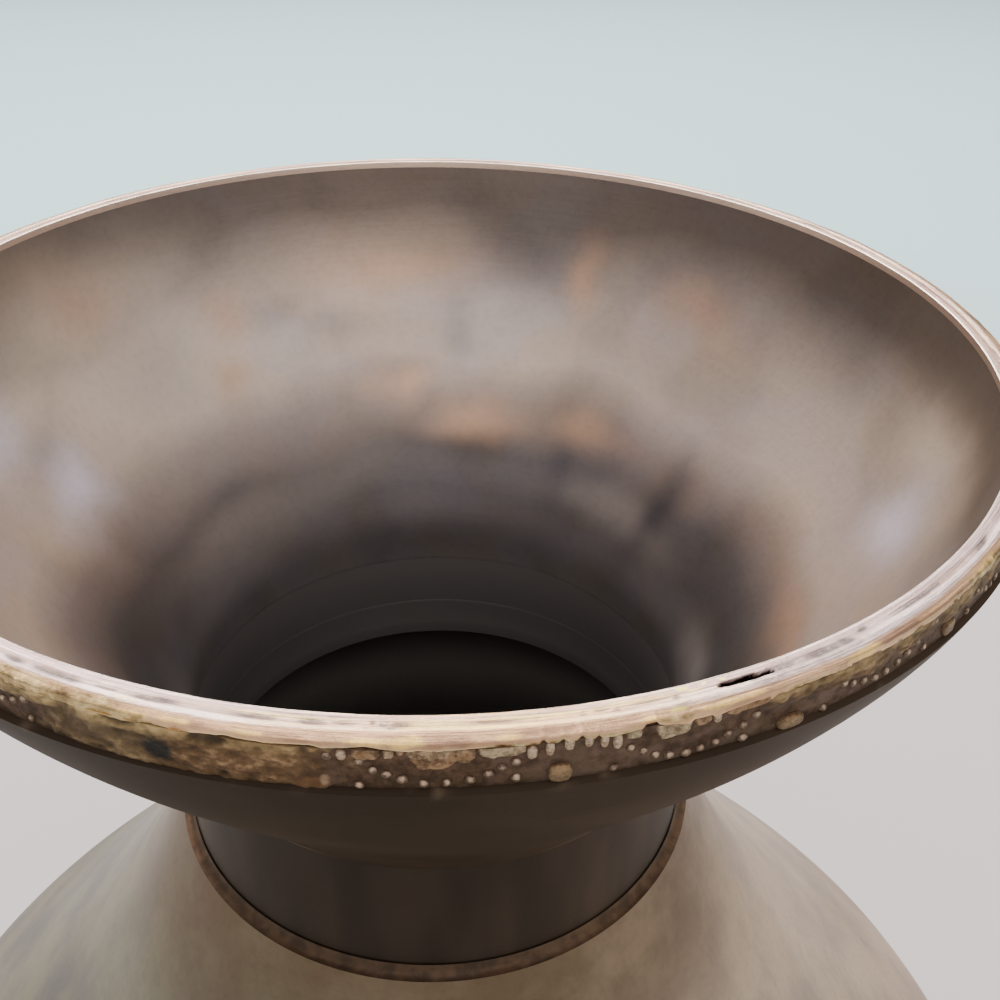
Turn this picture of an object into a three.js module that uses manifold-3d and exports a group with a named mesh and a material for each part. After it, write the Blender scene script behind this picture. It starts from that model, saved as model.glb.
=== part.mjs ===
// A large brass vase: a wide flared mouth with a flat bright lip and a beaded ornament band,
// a short straight neck, a pear-shaped body spun in two halves, and a spreading foot.
// Millimetres, +Z up, the foot stands on z = 0 at the origin, and the front of the vase is -Y.

import * as THREE from 'three';
import { mergeVertices } from 'three/addons/utils/BufferGeometryUtils.js';
import Module from 'manifold-3d';

const wasm = await Module();
wasm.setup();

// Facets round the vase, shared by every turned piece so that their seats meet face to face
const facets = 48;

// Steps along each turned curve
const flareSteps = 6;
const boreSteps = 6;
const shoulderSteps = 7;
const lowerSteps = 7;
const stemSteps = 4;
const noseSteps = 4;

// Lip: a flat turned ring with a small outer chamfer
const lipInnerRadius = 85;
const lipTopWidth = 2.7;
const lipChamferWidth = 1.1;
const lipChamferDrop = 0.35;
const lipThickness = 1.2;

// Mouth bowl: a casting whose collar stands inside the ornament band, on a ledge that carries it
const collarWall = 1.6;
const ledgeLip = 0.4;
const flareHeight = 61.3;
const flareTopLean = -19;
const flareTopPull = 19.8;
const flareFootLean = -29.3;
const flareFootPull = 18.5;
const flareFootStep = 0.4;
const boreTopLean = -12.5;
const boreTopPull = 25.4;
const boreFootLean = -24.7;
const boreFootPull = 20.9;

// Ornament band: a strip with a festoon of beads, bosses under its arches and a bead beside each
const bandHeight = 5.5;
const festoonRepeats = 22;
const beadsPerRepeat = 15;
const beadRadius = 0.5;
const beadHeight = 0.45;
const beadSides = 5;
const festoonTopGap = 0.15;
const festoonFootGap = 0.7;
const bossHalfWidth = 1.5;
const bossHalfHeight = 1.1;
const bossRise = 0.8;
const bossFootGap = 0.5;
const flankBeadOffset = 4.8;
const flankBeadFootGap = 0.85;
const reliefRoot = 0.25;

// Neck: a plain tube that the bowl above and the body below both enter with a spigot
const neckRadius = 46.75;
const neckWall = 1.5;
const neckHeight = 25.5;
const bowlSpigotDepth = 8;
const bodySpigotHeight = 6;
const spigotWall = 1.2;

// Fillet of hard solder round the foot of the neck
const filletWidth = 2.15;
const filletHeight = 1.9;
const filletThroat = 0.45;

// Body: two spun shells that meet at the belly, with a lap inside the seam
const bodyWall = 1.5;
const bellyRadius = 148.75;
const shoulderHeight = 155;
const shoulderTopLean = 20.5;
const shoulderTopPull = 82.5;
const shoulderBellyPull = 46.5;
const seatFlange = 2;
const lapHeight = 6;
const lapWall = 1.2;
const lowerHeight = 100.5;
const lowerBellyPull = 48;
const lowerFootOverhang = 2.5;
const lowerFootLean = -64;
const lowerFootPull = 44;

// Bottom: a disc soldered over the turned-in flange of the lower shell
const flangeReach = 12.5;
const bottomDiscLap = 6;
const bottomDiscThickness = 1.6;

// Foot: a flared stem on a turned ring
const stemTopRadius = 70.5;
const stemFootRadius = 90;
const stemWall = 1.8;
const stemHeight = 24;
const stemTopLean = 4;
const stemTopPull = 13;
const stemFootLean = 58;
const stemFootPull = 11;
const ringHeight = 7;
const ringInnerStep = 3;
const ringNose = 5;
const ringFootRound = 2.5;

// Clearance between a spigot, collar or lap and the piece that it enters
const fitClearance = 0.3;

// Sizes that follow from the ones above
const lipOuterRadius = lipInnerRadius + lipTopWidth + lipChamferWidth;
const collarOuterRadius = lipInnerRadius + collarWall;
const bandInnerRadius = collarOuterRadius + fitClearance;
const ledgeRadius = lipOuterRadius + ledgeLip;
const neckBore = neckRadius - neckWall;
const spigotOuterRadius = neckBore - fitClearance;
const spigotInnerRadius = spigotOuterRadius - spigotWall;
const seatRadius = neckRadius + filletWidth;
const bodyBore = bellyRadius - bodyWall;
const lowerFootRadius = stemTopRadius + lowerFootOverhang;
const bottomHoleRadius = stemTopRadius - stemWall - flangeReach;
const lapOuterRadius = bodyBore - fitClearance;

// Heights of the seats, stacked up from the foot
const stemSeat = ringHeight;
const bodySeat = stemSeat + stemHeight;
const bellySeam = bodySeat + lowerHeight;
const neckSeat = bellySeam + shoulderHeight;
const bowlSeat = neckSeat + neckHeight;
const bandSeat = bowlSeat + flareHeight;
const lipSeat = bandSeat + bandHeight;
const lipTop = lipSeat + lipThickness;

function point(radius, height) {
  return new THREE.Vector2(radius, height);
}

// A curve that runs down from one point to another. A lean is in degrees off the vertical,
// outward if positive, and a pull is how far the curve holds that lean.
function runDown(top, topLean, topPull, foot, footLean, footPull) {
  const topAngle = THREE.MathUtils.degToRad(topLean);
  const footAngle = THREE.MathUtils.degToRad(footLean);
  const topHandle = point(Math.sin(topAngle), -Math.cos(topAngle)).multiplyScalar(topPull).add(top);
  const footHandle = point(-Math.sin(footAngle), Math.cos(footAngle)).multiplyScalar(footPull).add(foot);
  return new THREE.CubicBezierCurve(top, topHandle, footHandle, foot);
}

// The same curve moved inward by a wall, kept between two heights
function innerWall(curve, wall, steps, lowest, highest) {
  const inside = [];
  for (let step = 0; step <= steps; step += 1) {
    const along = curve.getTangent(step / steps);
    const moved = curve.getPoint(step / steps).add(point(along.y, -along.x).multiplyScalar(wall));
    if (moved.y > lowest && moved.y < highest) {
      inside.push(moved);
    }
  }
  return inside;
}

// The radius of an outline that runs up or down, at one height
function radiusAt(outline, height) {
  const next = outline.findIndex((end, index) => {
    const start = outline[Math.max(index - 1, 0)];
    return (start.y - height) * (end.y - height) <= 0 && start.y !== end.y;
  });
  const start = outline[next - 1];
  const end = outline[next];
  return THREE.MathUtils.mapLinear(height, start.y, end.y, start.x, end.x);
}

// Revolves a closed outline round the vase's axis, with azimuth 0 at the front
function revolve(outline) {
  const area = THREE.ShapeUtils.area(outline);
  const ordered = area > 0 ? [...outline] : [...outline].reverse();
  ordered.push(ordered[0].clone());
  return new THREE.LatheGeometry(ordered, facets).rotateX(Math.PI / 2);
}

function piece(name, geometry, colour, roughness, metalness = 1) {
  const material = new THREE.MeshStandardMaterial({ color: colour, roughness, metalness });
  const mesh = new THREE.Mesh(geometry, material);
  mesh.name = name;
  return mesh;
}

function lipRing() {
  return revolve([
    point(lipInnerRadius, lipSeat),
    point(lipOuterRadius, lipSeat),
    point(lipOuterRadius, lipTop - lipChamferDrop),
    point(lipInnerRadius + lipTopWidth, lipTop),
    point(lipInnerRadius, lipTop),
  ]);
}

function mouthBowl() {
  const flareFoot = point(neckRadius + flareFootStep, bowlSeat);
  const flare = runDown(
    point(ledgeRadius, bandSeat), flareTopLean, flareTopPull, flareFoot, flareFootLean, flareFootPull);
  const bore = runDown(
    point(lipInnerRadius, lipSeat), boreTopLean, boreTopPull,
    point(spigotInnerRadius, bowlSeat), boreFootLean, boreFootPull);
  return revolve([
    point(collarOuterRadius, lipSeat),
    point(collarOuterRadius, bandSeat),
    ...flare.getPoints(flareSteps),
    point(spigotOuterRadius, bowlSeat),
    point(spigotOuterRadius, bowlSeat - bowlSpigotDepth),
    point(spigotInnerRadius, bowlSeat - bowlSpigotDepth),
    ...bore.getPoints(boreSteps).reverse(),
  ]);
}

function neckTube() {
  return revolve([
    point(neckBore, neckSeat),
    point(neckRadius, neckSeat),
    point(neckRadius, bowlSeat),
    point(neckBore, bowlSeat),
  ]);
}

function solderFillet() {
  const inner = neckRadius + fitClearance;
  return revolve([
    point(inner, neckSeat),
    point(seatRadius, neckSeat),
    point(inner + filletThroat, neckSeat + filletThroat),
    point(inner, neckSeat + filletHeight),
  ]);
}

const shoulderCurve = runDown(
  point(seatRadius, neckSeat), shoulderTopLean, shoulderTopPull,
  point(bellyRadius, bellySeam), 0, shoulderBellyPull);

// The inside of the shoulder, from the belly seam up to its flange under the neck
function shoulderInside() {
  const inside = innerWall(shoulderCurve, bodyWall, shoulderSteps, bellySeam, neckSeat - seatFlange);
  return [point(bodyBore, bellySeam), ...inside.reverse()];
}

function shoulderShell() {
  return revolve([
    point(spigotOuterRadius, neckSeat + bodySpigotHeight),
    point(spigotOuterRadius, neckSeat),
    ...shoulderCurve.getPoints(shoulderSteps),
    ...shoulderInside(),
    point(spigotInnerRadius, neckSeat - seatFlange),
    point(spigotInnerRadius, neckSeat + bodySpigotHeight),
  ]);
}

function lowerShell() {
  const belly = runDown(
    point(bellyRadius, bellySeam), 0, lowerBellyPull,
    point(lowerFootRadius, bodySeat), lowerFootLean, lowerFootPull);
  const lapTop = bellySeam + lapHeight;
  const lapTopRadius = radiusAt(shoulderInside(), lapTop) - fitClearance;
  const flangeTop = bodySeat + bodyWall;
  const inside = innerWall(belly, bodyWall, lowerSteps, flangeTop + bodyWall, bellySeam - lapHeight);
  return revolve([
    point(lapTopRadius, lapTop),
    point(lapOuterRadius, bellySeam),
    ...belly.getPoints(lowerSteps),
    point(bottomHoleRadius, bodySeat),
    point(bottomHoleRadius, flangeTop),
    point(lowerFootRadius, flangeTop),
    ...inside.reverse(),
    point(lapOuterRadius - lapWall, bellySeam),
    point(lapTopRadius - lapWall, lapTop),
  ]);
}

function bottomDisc() {
  const radius = bottomHoleRadius + bottomDiscLap;
  const foot = bodySeat + bodyWall;
  return revolve([
    point(0, foot),
    point(radius, foot),
    point(radius, foot + bottomDiscThickness),
    point(0, foot + bottomDiscThickness),
  ]);
}

function footStem() {
  const stem = runDown(
    point(stemTopRadius, bodySeat), stemTopLean, stemTopPull,
    point(stemFootRadius, stemSeat), stemFootLean, stemFootPull);
  const inside = innerWall(stem, stemWall, stemSteps, stemSeat, bodySeat);
  return revolve([
    ...stem.getPoints(stemSteps),
    point(stemFootRadius - stemWall / Math.cos(THREE.MathUtils.degToRad(stemFootLean)), stemSeat),
    ...inside.reverse(),
    point(stemTopRadius - stemWall, bodySeat),
  ]);
}

function footRing() {
  const shoulder = point(stemFootRadius, stemSeat);
  const noseRadius = stemFootRadius + ringNose;
  const nose = new THREE.SplineCurve([
    shoulder,
    point(noseRadius - ringFootRound / 2, stemSeat - ringFootRound / 2),
    point(noseRadius, stemSeat / 2),
    point(noseRadius - ringFootRound, 0),
  ]);
  const innerRadius = stemFootRadius - stemWall - ringInnerStep;
  return revolve([
    ...nose.getPoints(noseSteps),
    point(innerRadius, 0),
    point(innerRadius, stemSeat),
  ]);
}

// A closed geometry as a solid for the booleans
function solid(geometry) {
  const plain = geometry.clone();
  plain.deleteAttribute('normal');
  plain.deleteAttribute('uv');
  const welded = mergeVertices(plain, 1e-5);
  return new wasm.Manifold(new wasm.Mesh({
    numProp: 3,
    vertProperties: new Float32Array(welded.attributes.position.array),
    triVerts: new Uint32Array(welded.index.array),
  }));
}

function fromSolid(body) {
  const mesh = body.getMesh();
  const geometry = new THREE.BufferGeometry();
  geometry.setAttribute('position', new THREE.BufferAttribute(mesh.vertProperties, 3));
  geometry.setIndex(new THREE.BufferAttribute(mesh.triVerts, 1));
  geometry.computeVertexNormals();
  return geometry;
}

// Turns a relief made along +Y to point out of the band, and sets it on the flat of the band
// that lies at its azimuth
function setOnBand(relief, azimuth, height) {
  const flat = 2 * Math.PI / facets;
  const offMiddle = THREE.MathUtils.euclideanModulo(azimuth, flat) - flat / 2;
  const face = lipOuterRadius * Math.cos(flat / 2) / Math.cos(offMiddle);
  return relief.clone()
    .rotateX(Math.PI)
    .translate(0, -face, height)
    .rotateZ(azimuth);
}

function bead() {
  const slope = beadRadius / beadHeight;
  const length = beadHeight + reliefRoot;
  return new THREE.ConeGeometry(slope * length, length, beadSides)
    .translate(0, length / 2 - reliefRoot, 0);
}

function boss() {
  const sides = 8;
  const rings = 4;
  return new THREE.SphereGeometry(1, sides, rings)
    .scale(bossHalfWidth, bossRise, bossHalfHeight);
}

// The festoon swings between the lip and the foot of the band, one arch to each repeat
function festoonHeight(turn) {
  const top = lipSeat - festoonTopGap - beadRadius;
  const foot = bandSeat + festoonFootGap + beadRadius;
  const swing = Math.cos(2 * Math.PI * turn);
  return (top + foot) / 2 - swing * (top - foot) / 2;
}

function ornamentBand() {
  const strip = revolve([
    point(bandInnerRadius, bandSeat),
    point(lipOuterRadius, bandSeat),
    point(lipOuterRadius, lipSeat),
    point(bandInnerRadius, lipSeat),
  ]);
  const repeatAngle = 2 * Math.PI / festoonRepeats;
  const flankAngle = flankBeadOffset / lipOuterRadius;
  const beadForm = bead();
  const bossForm = boss();
  const bossLevel = bandSeat + bossFootGap + bossHalfHeight;
  const flankLevel = bandSeat + flankBeadFootGap + beadRadius;
  const reliefs = [];
  for (let repeat = 0; repeat < festoonRepeats; repeat += 1) {
    const start = repeat * repeatAngle;
    for (let count = 0; count < beadsPerRepeat; count += 1) {
      const turn = count / beadsPerRepeat;
      reliefs.push(setOnBand(beadForm, start + turn * repeatAngle, festoonHeight(turn)));
    }
    const middle = start + repeatAngle / 2;
    reliefs.push(setOnBand(bossForm, middle, bossLevel));
    reliefs.push(setOnBand(beadForm, middle - flankAngle, flankLevel));
    reliefs.push(setOnBand(beadForm, middle + flankAngle, flankLevel));
  }
  return fromSolid(wasm.Manifold.union([solid(strip), ...reliefs.map(solid)]));
}

const vase = new THREE.Group();
vase.add(
  piece('foot_ring', footRing(), '#6e5a3c', 0.5),
  piece('foot_stem', footStem(), '#6a583e', 0.5),
  piece('lower_body', lowerShell(), '#857360', 0.45),
  piece('bottom_disc', bottomDisc(), '#4c4030', 0.6),
  piece('shoulder_body', shoulderShell(), '#8a7a68', 0.45),
  piece('neck_solder_fillet', solderFillet(), '#7a5530', 0.6),
  piece('neck_tube', neckTube(), '#40372a', 0.5),
  piece('mouth_bowl', mouthBowl(), '#6b5d4c', 0.5),
  piece('ornament_band', ornamentBand(), '#5a4632', 0.55),
  piece('lip_ring', lipRing(), '#d8cfc2', 0.3),
);

export default vase;
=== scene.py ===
import math

import bpy
import numpy as np
from mathutils import Matrix, Vector


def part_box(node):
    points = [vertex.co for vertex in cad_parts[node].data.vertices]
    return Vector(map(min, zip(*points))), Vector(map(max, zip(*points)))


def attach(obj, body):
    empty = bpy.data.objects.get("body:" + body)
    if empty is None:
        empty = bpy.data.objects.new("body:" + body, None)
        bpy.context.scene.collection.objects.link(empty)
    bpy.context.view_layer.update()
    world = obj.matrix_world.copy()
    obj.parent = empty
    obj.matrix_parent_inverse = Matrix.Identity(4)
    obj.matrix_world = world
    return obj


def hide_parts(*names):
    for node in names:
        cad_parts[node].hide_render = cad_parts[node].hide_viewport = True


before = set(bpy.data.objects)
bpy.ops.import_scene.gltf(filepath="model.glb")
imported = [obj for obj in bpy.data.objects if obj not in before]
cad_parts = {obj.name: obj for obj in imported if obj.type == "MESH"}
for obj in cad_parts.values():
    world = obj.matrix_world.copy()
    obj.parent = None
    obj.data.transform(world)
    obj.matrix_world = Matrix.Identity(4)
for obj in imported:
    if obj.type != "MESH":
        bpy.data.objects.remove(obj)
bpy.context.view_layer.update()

# Metres, +Z up, the foot on z = 0 and the front of the vase at -Y, as in the frame.
# An azimuth is measured round the axis from the front, towards +X.
MM = 0.001

# Heights, then radii, that the frame gives
LIP_LOW, LIP_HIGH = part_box("lip_ring")
MOUTH_LOW, MOUTH_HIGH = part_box("mouth_bowl")
NECK_LOW, NECK_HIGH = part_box("neck_tube")
SHOULDER_LOW, SHOULDER_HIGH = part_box("shoulder_body")
STEM_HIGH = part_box("foot_stem")[1]
RING_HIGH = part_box("foot_ring")[1]
FILLET_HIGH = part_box("neck_solder_fillet")[1]
LIP_TOP = LIP_HIGH.z
LIP_SEAT = LIP_LOW.z
BAND_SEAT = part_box("ornament_band")[0].z
BOWL_FOOT = MOUTH_LOW.z
NECK_SEAT = NECK_LOW.z
BOWL_SEAT = NECK_HIGH.z
FILLET_TOP = FILLET_HIGH.z
BELLY_SEAM = SHOULDER_LOW.z
SPIGOT_TOP = SHOULDER_HIGH.z
BODY_SEAT = STEM_HIGH.z
STEM_SEAT = RING_HIGH.z

LIP_OUTER = LIP_HIGH.x
LEDGE_RADIUS = MOUTH_HIGH.x
NECK_RADIUS = NECK_HIGH.x
FILLET_RADIUS = FILLET_HIGH.x
BELLY_RADIUS = SHOULDER_HIGH.x
STEM_FOOT_RADIUS = STEM_HIGH.x
RING_RADIUS = RING_HIGH.x

# Lip: two worn ridges with a shallow groove between them, and a broad chamfer outside
LIP_INNER = 85 * MM
LIP_GROOVE = 86.45 * MM
LIP_GROOVE_HALF = 0.35 * MM
LIP_GROOVE_DEPTH = 0.07 * MM
LIP_CHAMFER_START = 87.4 * MM
LIP_CHAMFER_DROP = 0.36 * MM
SLOT_DEPTH = 0.4 * MM
STREAK_DEPTH = 0.05 * MM

# The lip's lower edge in front: azimuth in degrees, and how far it hangs under the lip's seat in mm
LIP_EDGE = (
    (-30, 0.3), (-24, 0.2), (-20, 0.35), (-18, -0.2), (-16.5, 0.1), (-15.5, 0), (-14.8, -0.2), (-13, -0.4),
    (-12, -0.25), (-10, -0.15), (-8, -0.4), (-6.9, -0.1), (-4.2, -0.5), (-3.2, -0.2), (-2.6, 0),
    (-1.8, 0.1), (-1.2, -0.1), (-0.5, 0.1), (0, 0.15), (1, -0.05), (3, -0.15), (5.6, -0.1), (6.3, -0.1),
    (6.5, -0.5), (6.75, -0.1), (7.4, 0), (7.75, -0.55), (8.05, 0), (8.6, 0), (8.95, -0.55), (9.2, 0),
    (9.8, 0), (10.0, -0.4), (10.2, 0.05), (11, 0.1), (12.2, 0), (12.9, -0.1), (13.1, -0.65), (13.8, -0.75),
    (14, -0.3), (16.2, 0.6), (16.4, 0.1), (17, 0), (17.7, 0.1),
    (18, 0.5), (19, 0.1), (21, -0.15), (22.5, 0.5), (24, 0), (26, -0.1), (28.5, 0.3), (30, 0.2),
)
# Where the lip's top turns into its side in front: azimuth in degrees and radius in mm
LIP_CREST = (
    (-32, 87.6), (-24, 87.5), (-14, 87.65), (-9, 87.45), (-4, 87.4), (1, 87.25), (6, 87.4), (13, 87.5),
    (16, 87.75), (24, 87.95), (30, 88.1), (45, 87.6),
)

# Ornament: the festoon's repeats, its beads and bosses. A drop is measured down from the lip's seat,
# in mm like a bead's or a boss's size. A boss gives its drop, half width and half height.
KIND_BEAD, KIND_BOSS, KIND_TOOTH = range(3)
REPEATS = 22
BEADS_PER_REPEAT = 15
FESTOON_HIGH = 0.6
FESTOON_LOW = 4.3
BEAD_RADIUS = 0.5
BEAD_RISE = 0.36
# How much closer in azimuth the beads stand on the festoon's slopes
CROWDING = 0.12
# A bead with less drop than this runs up into the lip as a tooth, to the tooth's top
TOOTH_DROP = 1.25
TOOTH_TOP = -0.9
BOSS = (3.9, 1.45, 1.0)
BOSS_RISE = 0.6
# The single bead on each side of a boss: how far away in degrees, and its drop
FLANK_TURN = 3.15
FLANK_DROP = 4.4
# The sunk ground between the beads, and the ledge under it
GROUND_DEPTH = 0.35 * MM
LEDGE_LIFT = 0.25 * MM

# Curves of the walls: a lean in degrees off the vertical, outward as it goes down if positive, and
# how far the curve holds to it
FLARE_TOP = (-19, 19.8 * MM)
FLARE_FOOT = (-29.3, 18.5 * MM)
FLARE_FOOT_STEP = 0.4 * MM
BORE_TOP = (-12.5, 25.4 * MM)
BORE_FOOT = (-24.7, 20.9 * MM)
SHOULDER_TOP = (20.5, 82.5 * MM)
SHOULDER_FOOT = (0, 46.5 * MM)
LOWER_TOP = (0, 48 * MM)
LOWER_FOOT = (-64, 44 * MM)
STEM_TOP = (4, 13 * MM)
STEM_FOOT = (58, 11 * MM)

# Walls, seats and the radii of the hidden pieces
COLLAR_WALL = 1.6 * MM
NECK_WALL = 1.5 * MM
SPIGOT_WALL = 1.2 * MM
FIT = 0.3 * MM
BODY_WALL = 1.5 * MM
SEAM_GROOVE = 0.25 * MM
LOWER_FOOT_RADIUS = 73 * MM
LOWER_HOLE_RADIUS = 56.2 * MM
STEM_TOP_RADIUS = 70.5 * MM
STEM_WALL = 1.8 * MM
RING_INNER_RADIUS = 85.2 * MM
DISC_RADIUS = 62.2 * MM
DISC_THICKNESS = 1.6 * MM
NECK_BORE = NECK_RADIUS - NECK_WALL
SPIGOT_OUTER = NECK_BORE - FIT
SPIGOT_INNER = SPIGOT_OUTER - SPIGOT_WALL

# How deep the walls are dented
BOWL_DENTS = 0.16 * MM
NECK_DENTS = 0.15 * MM
BODY_DENTS = 0.4 * MM
DISC_DENTS = 0.25 * MM
STEM_DENTS = 0.2 * MM
SOLDER_LUMPS = 0.25 * MM

# How many columns go round each piece
LIP_COLUMNS = 2800
BAND_COLUMNS = 2880
MOUTH_COLUMNS = 640
NECK_COLUMNS = 480
FILLET_COLUMNS = 960
SHOULDER_COLUMNS = 600
LOWER_COLUMNS = 640
DISC_COLUMNS = 360
FOOT_COLUMNS = 480
BEAD_COLUMNS = 14
BEAD_ROWS = 8

# The way that the darkest side of the neck and of the mouth's underside faces, where painted shade darkens
# them
FRONT = (-0.3, -0.954, 0)

# The camera, solved from the rim, in lip radii and degrees, with its film and lens in mm
CAMERA_BACK = 2.0044
CAMERA_ABOVE = 0.9473
CAMERA_PITCH = -33.20
CAMERA_YAW = -3.71
CAMERA_ROLL = -1.41
FILM_WIDTH = 36
FOCAL_LENGTH = 43.2

# The plain studio: the floor's half width in metres, the sky's tones from the horizon up, and the
# lights that aim at the mouth, each with its place, width, height, watts and colour
FLOOR_REACH = 5.0
SKY = ((0.0, (96, 93, 92)), (0.2, (116, 113, 114)), (0.5, (226, 222, 224)), (0.8, (238, 236, 240)))
LIGHTS = (
    ("window", (-0.25, 1.7, 2.0), 2.6, 1.4, 80, (1.0, 0.95, 0.91)),
    ("front", (0.2, -1.9, 2.6), 3.2, 1.6, 26, (1.0, 0.98, 0.97)),
)

# Beads seen in front, and the single beads beside the bosses: azimuth in degrees and drop in mm
FRONT_BEADS = (
    (-6.85, 1.2), (-4.82, 1.6), (-3.98, 2.7), (-3.2, 3.2), (-2.22, 3.97), (-0.87, 4.6), (0.61, 4.55),
    (2.04, 4.1), (3.16, 3.45), (4.02, 2.7), (4.88, 2.1), (12.35, 2.3), (13.2, 3.3), (14.05, 4.1),
    (15.1, 4.55), (16.27, 4.72), (17.32, 4.6), (18.38, 4.25), (19.25, 3.8), (20.3, 3.0), (21.35, 2.15),
)
FRONT_FLANKS = ((-4.95, 4.8), (4.95, 4.35), (11.2, 4.7), (20.5, 4.8), (27.15, 4.8))
# The azimuth from which the beads seen stand for the regular ones, and how far on past the last one
FRONT_START = -25
FRONT_MARGIN = 0.8
# Beads seen in front that run up into the lip: azimuth in degrees, then the drops of both ends in mm
FRONT_TEETH = (
    (-5.9, 0.25, 1.5), (5.85, 0.2, 1.95), (6.95, -0.3, 1.75), (8.25, -0.4, 1.3), (9.5, -0.4, 1.2),
    (10.45, -0.3, 1.65), (11.4, 0.1, 2.15), (18.2, 0.1, 1.5),
)
# Bosses seen in front: azimuth in degrees, then drop, half width and half height in mm
FRONT_BOSSES = ((7.72, 4.1, 1.35, 1.15), (24.3, 4.62, 1.6, 0.8))
# Folds of metal that hang from the lip in front: their ends in degrees, drop in mm, and paleness
SWAGS = (
    (-5.3, -3.5, 1.35, 0.1), (-3.4, -2.65, 1.1, 0.6), (-2.55, -2.05, 0.65, 0.3), (-1.95, 0.9, 1.2, 0.35),
    (-1.7, 1.2, 2.5, 0.0), (0.9, 2.3, 1.75, 0.25), (2.45, 5.5, 1.35, 0.7), (11.9, 13.0, 1.1, 1.0),
    (13.95, 16.4, 2.0, 0.8), (16.6, 17.8, 1.2, 0.1), (18.8, 22.2, 0.95, 0.3),
)

# The part of the lip that is out of sight, in degrees
HIDDEN = (46, 314)
# Marks on the lip: middle azimuth and half width in degrees, then place and half width in mm.
# The place is the radius on top, and goes on past it down the side.
LIP_STREAKS = (
    (-36, 2.5, 86.5, 0.4), (-29.3, 1.3, 86.8, 0.45), (-25.7, 2.8, 86.75, 0.55), (-22, 1.2, 86.6, 0.2),
    (-18.9, 1.6, 86.65, 0.4), (-17.8, 1.3, 86.4, 0.35), (-11.7, 2.1, 86.5, 0.4), (-7.9, 1.3, 86.5, 0.42),
    (-5.9, 1.1, 86.4, 0.25), (-2.4, 1.1, 86.4, 0.36), (-4.1, 0.25, 86.2, 0.3),
    (3.6, 1.8, 86.35, 0.16), (9.4, 0.3, 86.5, 0.18),
    (10.6, 0.7, 86.35, 0.12), (11.6, 0.45, 86.65, 0.18), (14, 2.4, 86.3, 0.12), (15.8, 0.35, 86.5, 0.28),
    (24, 1.8, 86.6, 0.36), (27.4, 3.2, 86.65, 0.55), (29.8, 1.0, 86.6, 0.5), (31.7, 0.7, 86.2, 0.3),
    (38, 4, 86.5, 0.3), (7, 3.5, 85.75, 0.1), (-8, 6, 85.7, 0.12),
)
LIP_SLOT = ((20.0, 1.5, 86.42, 0.4), (21.5, 1.5, 86.55, 0.4), (22.6, 0.8, 86.6, 0.34))
LIP_SCUFF = ((-3.45, 0.6, 86.45, 0.5), (-2.9, 0.5, 86.9, 0.3))
# Cream patches on the top are painted highlights.
LIP_CREAM = (
    (0.2, 2.8, 86.6, 0.85), (-20.4, 1.3, 87.3, 0.3), (6, 4.4, 86.1, 0.4), (13, 2.8, 86.0, 0.35),
    (2.5, 5, 87.0, 0.4), (-9, 4, 87.1, 0.25), (-10, 5, 86.05, 0.22),
)
LIP_GLINTS = (
    (16.5, 0.55, 85.6, 0.32), (18.1, 0.4, 85.6, 0.28), (19.5, 0.35, 85.7, 0.25), (17.3, 1.0, 86.1, 0.14),
    (15.5, 0.7, 88.0, 0.24),
)
LIP_GOLD = (
    (-4.3, 1.7, 88.75, 0.65), (-2.0, 1.6, 88.7, 0.8), (-1.5, 0.9, 88.2, 0.45), (4.3, 1.0, 88.4, 0.5),
    (13.5, 0.8, 88.8, 0.7), (19.3, 3.2, 88.6, 0.45), (30.3, 1.8, 88.7, 0.95), (-19.4, 1.4, 88.8, 0.6),
    (-16.4, 1.4, 88.5, 0.5), (-21.8, 1.0, 89.4, 0.35), (-11.6, 1.2, 88.6, 0.4),
)
LIP_MAUVE = (
    (-24, 1.7, 88.5, 0.5), (-15, 1.1, 88.5, 0.5), (-9.4, 1.9, 88.5, 0.35), (-3.4, 0.3, 88.7, 0.5),
    (0.9, 1.9, 88.7, 0.9), (7.5, 3.4, 88.0, 0.3), (34, 3.4, 88.6, 0.6), (22, 7, 88.0, 0.16),
    (-20.6, 0.35, 88.1, 0.3), (26.5, 7, 87.1, 0.7), (25.5, 6, 86.15, 0.4), (-27, 4, 87.1, 0.35),
)
LIP_CRUSTS = (
    (-28.5, 5, 88.8, 1.7), (-23.5, 4.5, 88.9, 1.5), (-21.4, 1.1, 88.2, 0.75), (-19.4, 2.0, 89.3, 0.7),
    (15.2, 1.6, 88.9, 0.6), (9, 4.2, 89.6, 0.42), (4.5, 2.4, 89.6, 0.25), (24.5, 2.4, 89.5, 0.35),
    (-41, 10, 89.0, 1.2), (-62, 16, 88.9, 1.2), (55, 18, 89.0, 1.0),
)

# Crust and stains on the band: middle azimuth and half width in degrees, drop and half height in mm
CRUSTS = (
    (-12, 7.3, 2.7, 6.5), (-19, 8.6, 2.9, 6.5), (-27.5, 4.5, 0.4, 2.0), (-40, 12, 0.3, 1.7),
    (-58, 10, 2.0, 3.2), (23, 1.2, 0.7, 1.2), (25.3, 1.6, 0.6, 1.7), (28.0, 2.2, 1.1, 1.6),
    (31.5, 2.6, 1.3, 2.4), (36, 3.6, 1.1, 2.6), (42, 4.8, 1.1, 2.6), (51, 8, 1.5, 3.0), (64, 8, 2.2, 3.2),
)
CRUST_LUMP = (-7.8, 1.5, 4.6, 1.25)
CRUST_EDGE = (-7.0, 0.35, 4.2, 0.9)
# Recesses just under the lip: sunk into the crust and painted dark as shade
SHADED_RECESSES = ((-14.6, 2.0, 0.5, 0.8), (-20.5, 1.6, 0.5, 0.7))
VERDIGRIS = (-17.8, 1.3, 3.0, 1.9)
OCHRE = ((20.6, 2.4, 0.4, 1.0), (-4.6, 0.5, 0.6, 0.5), (1.7, 0.7, 0.8, 0.8))
# The share of crust that buries a bead
BURIED = 0.55

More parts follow.
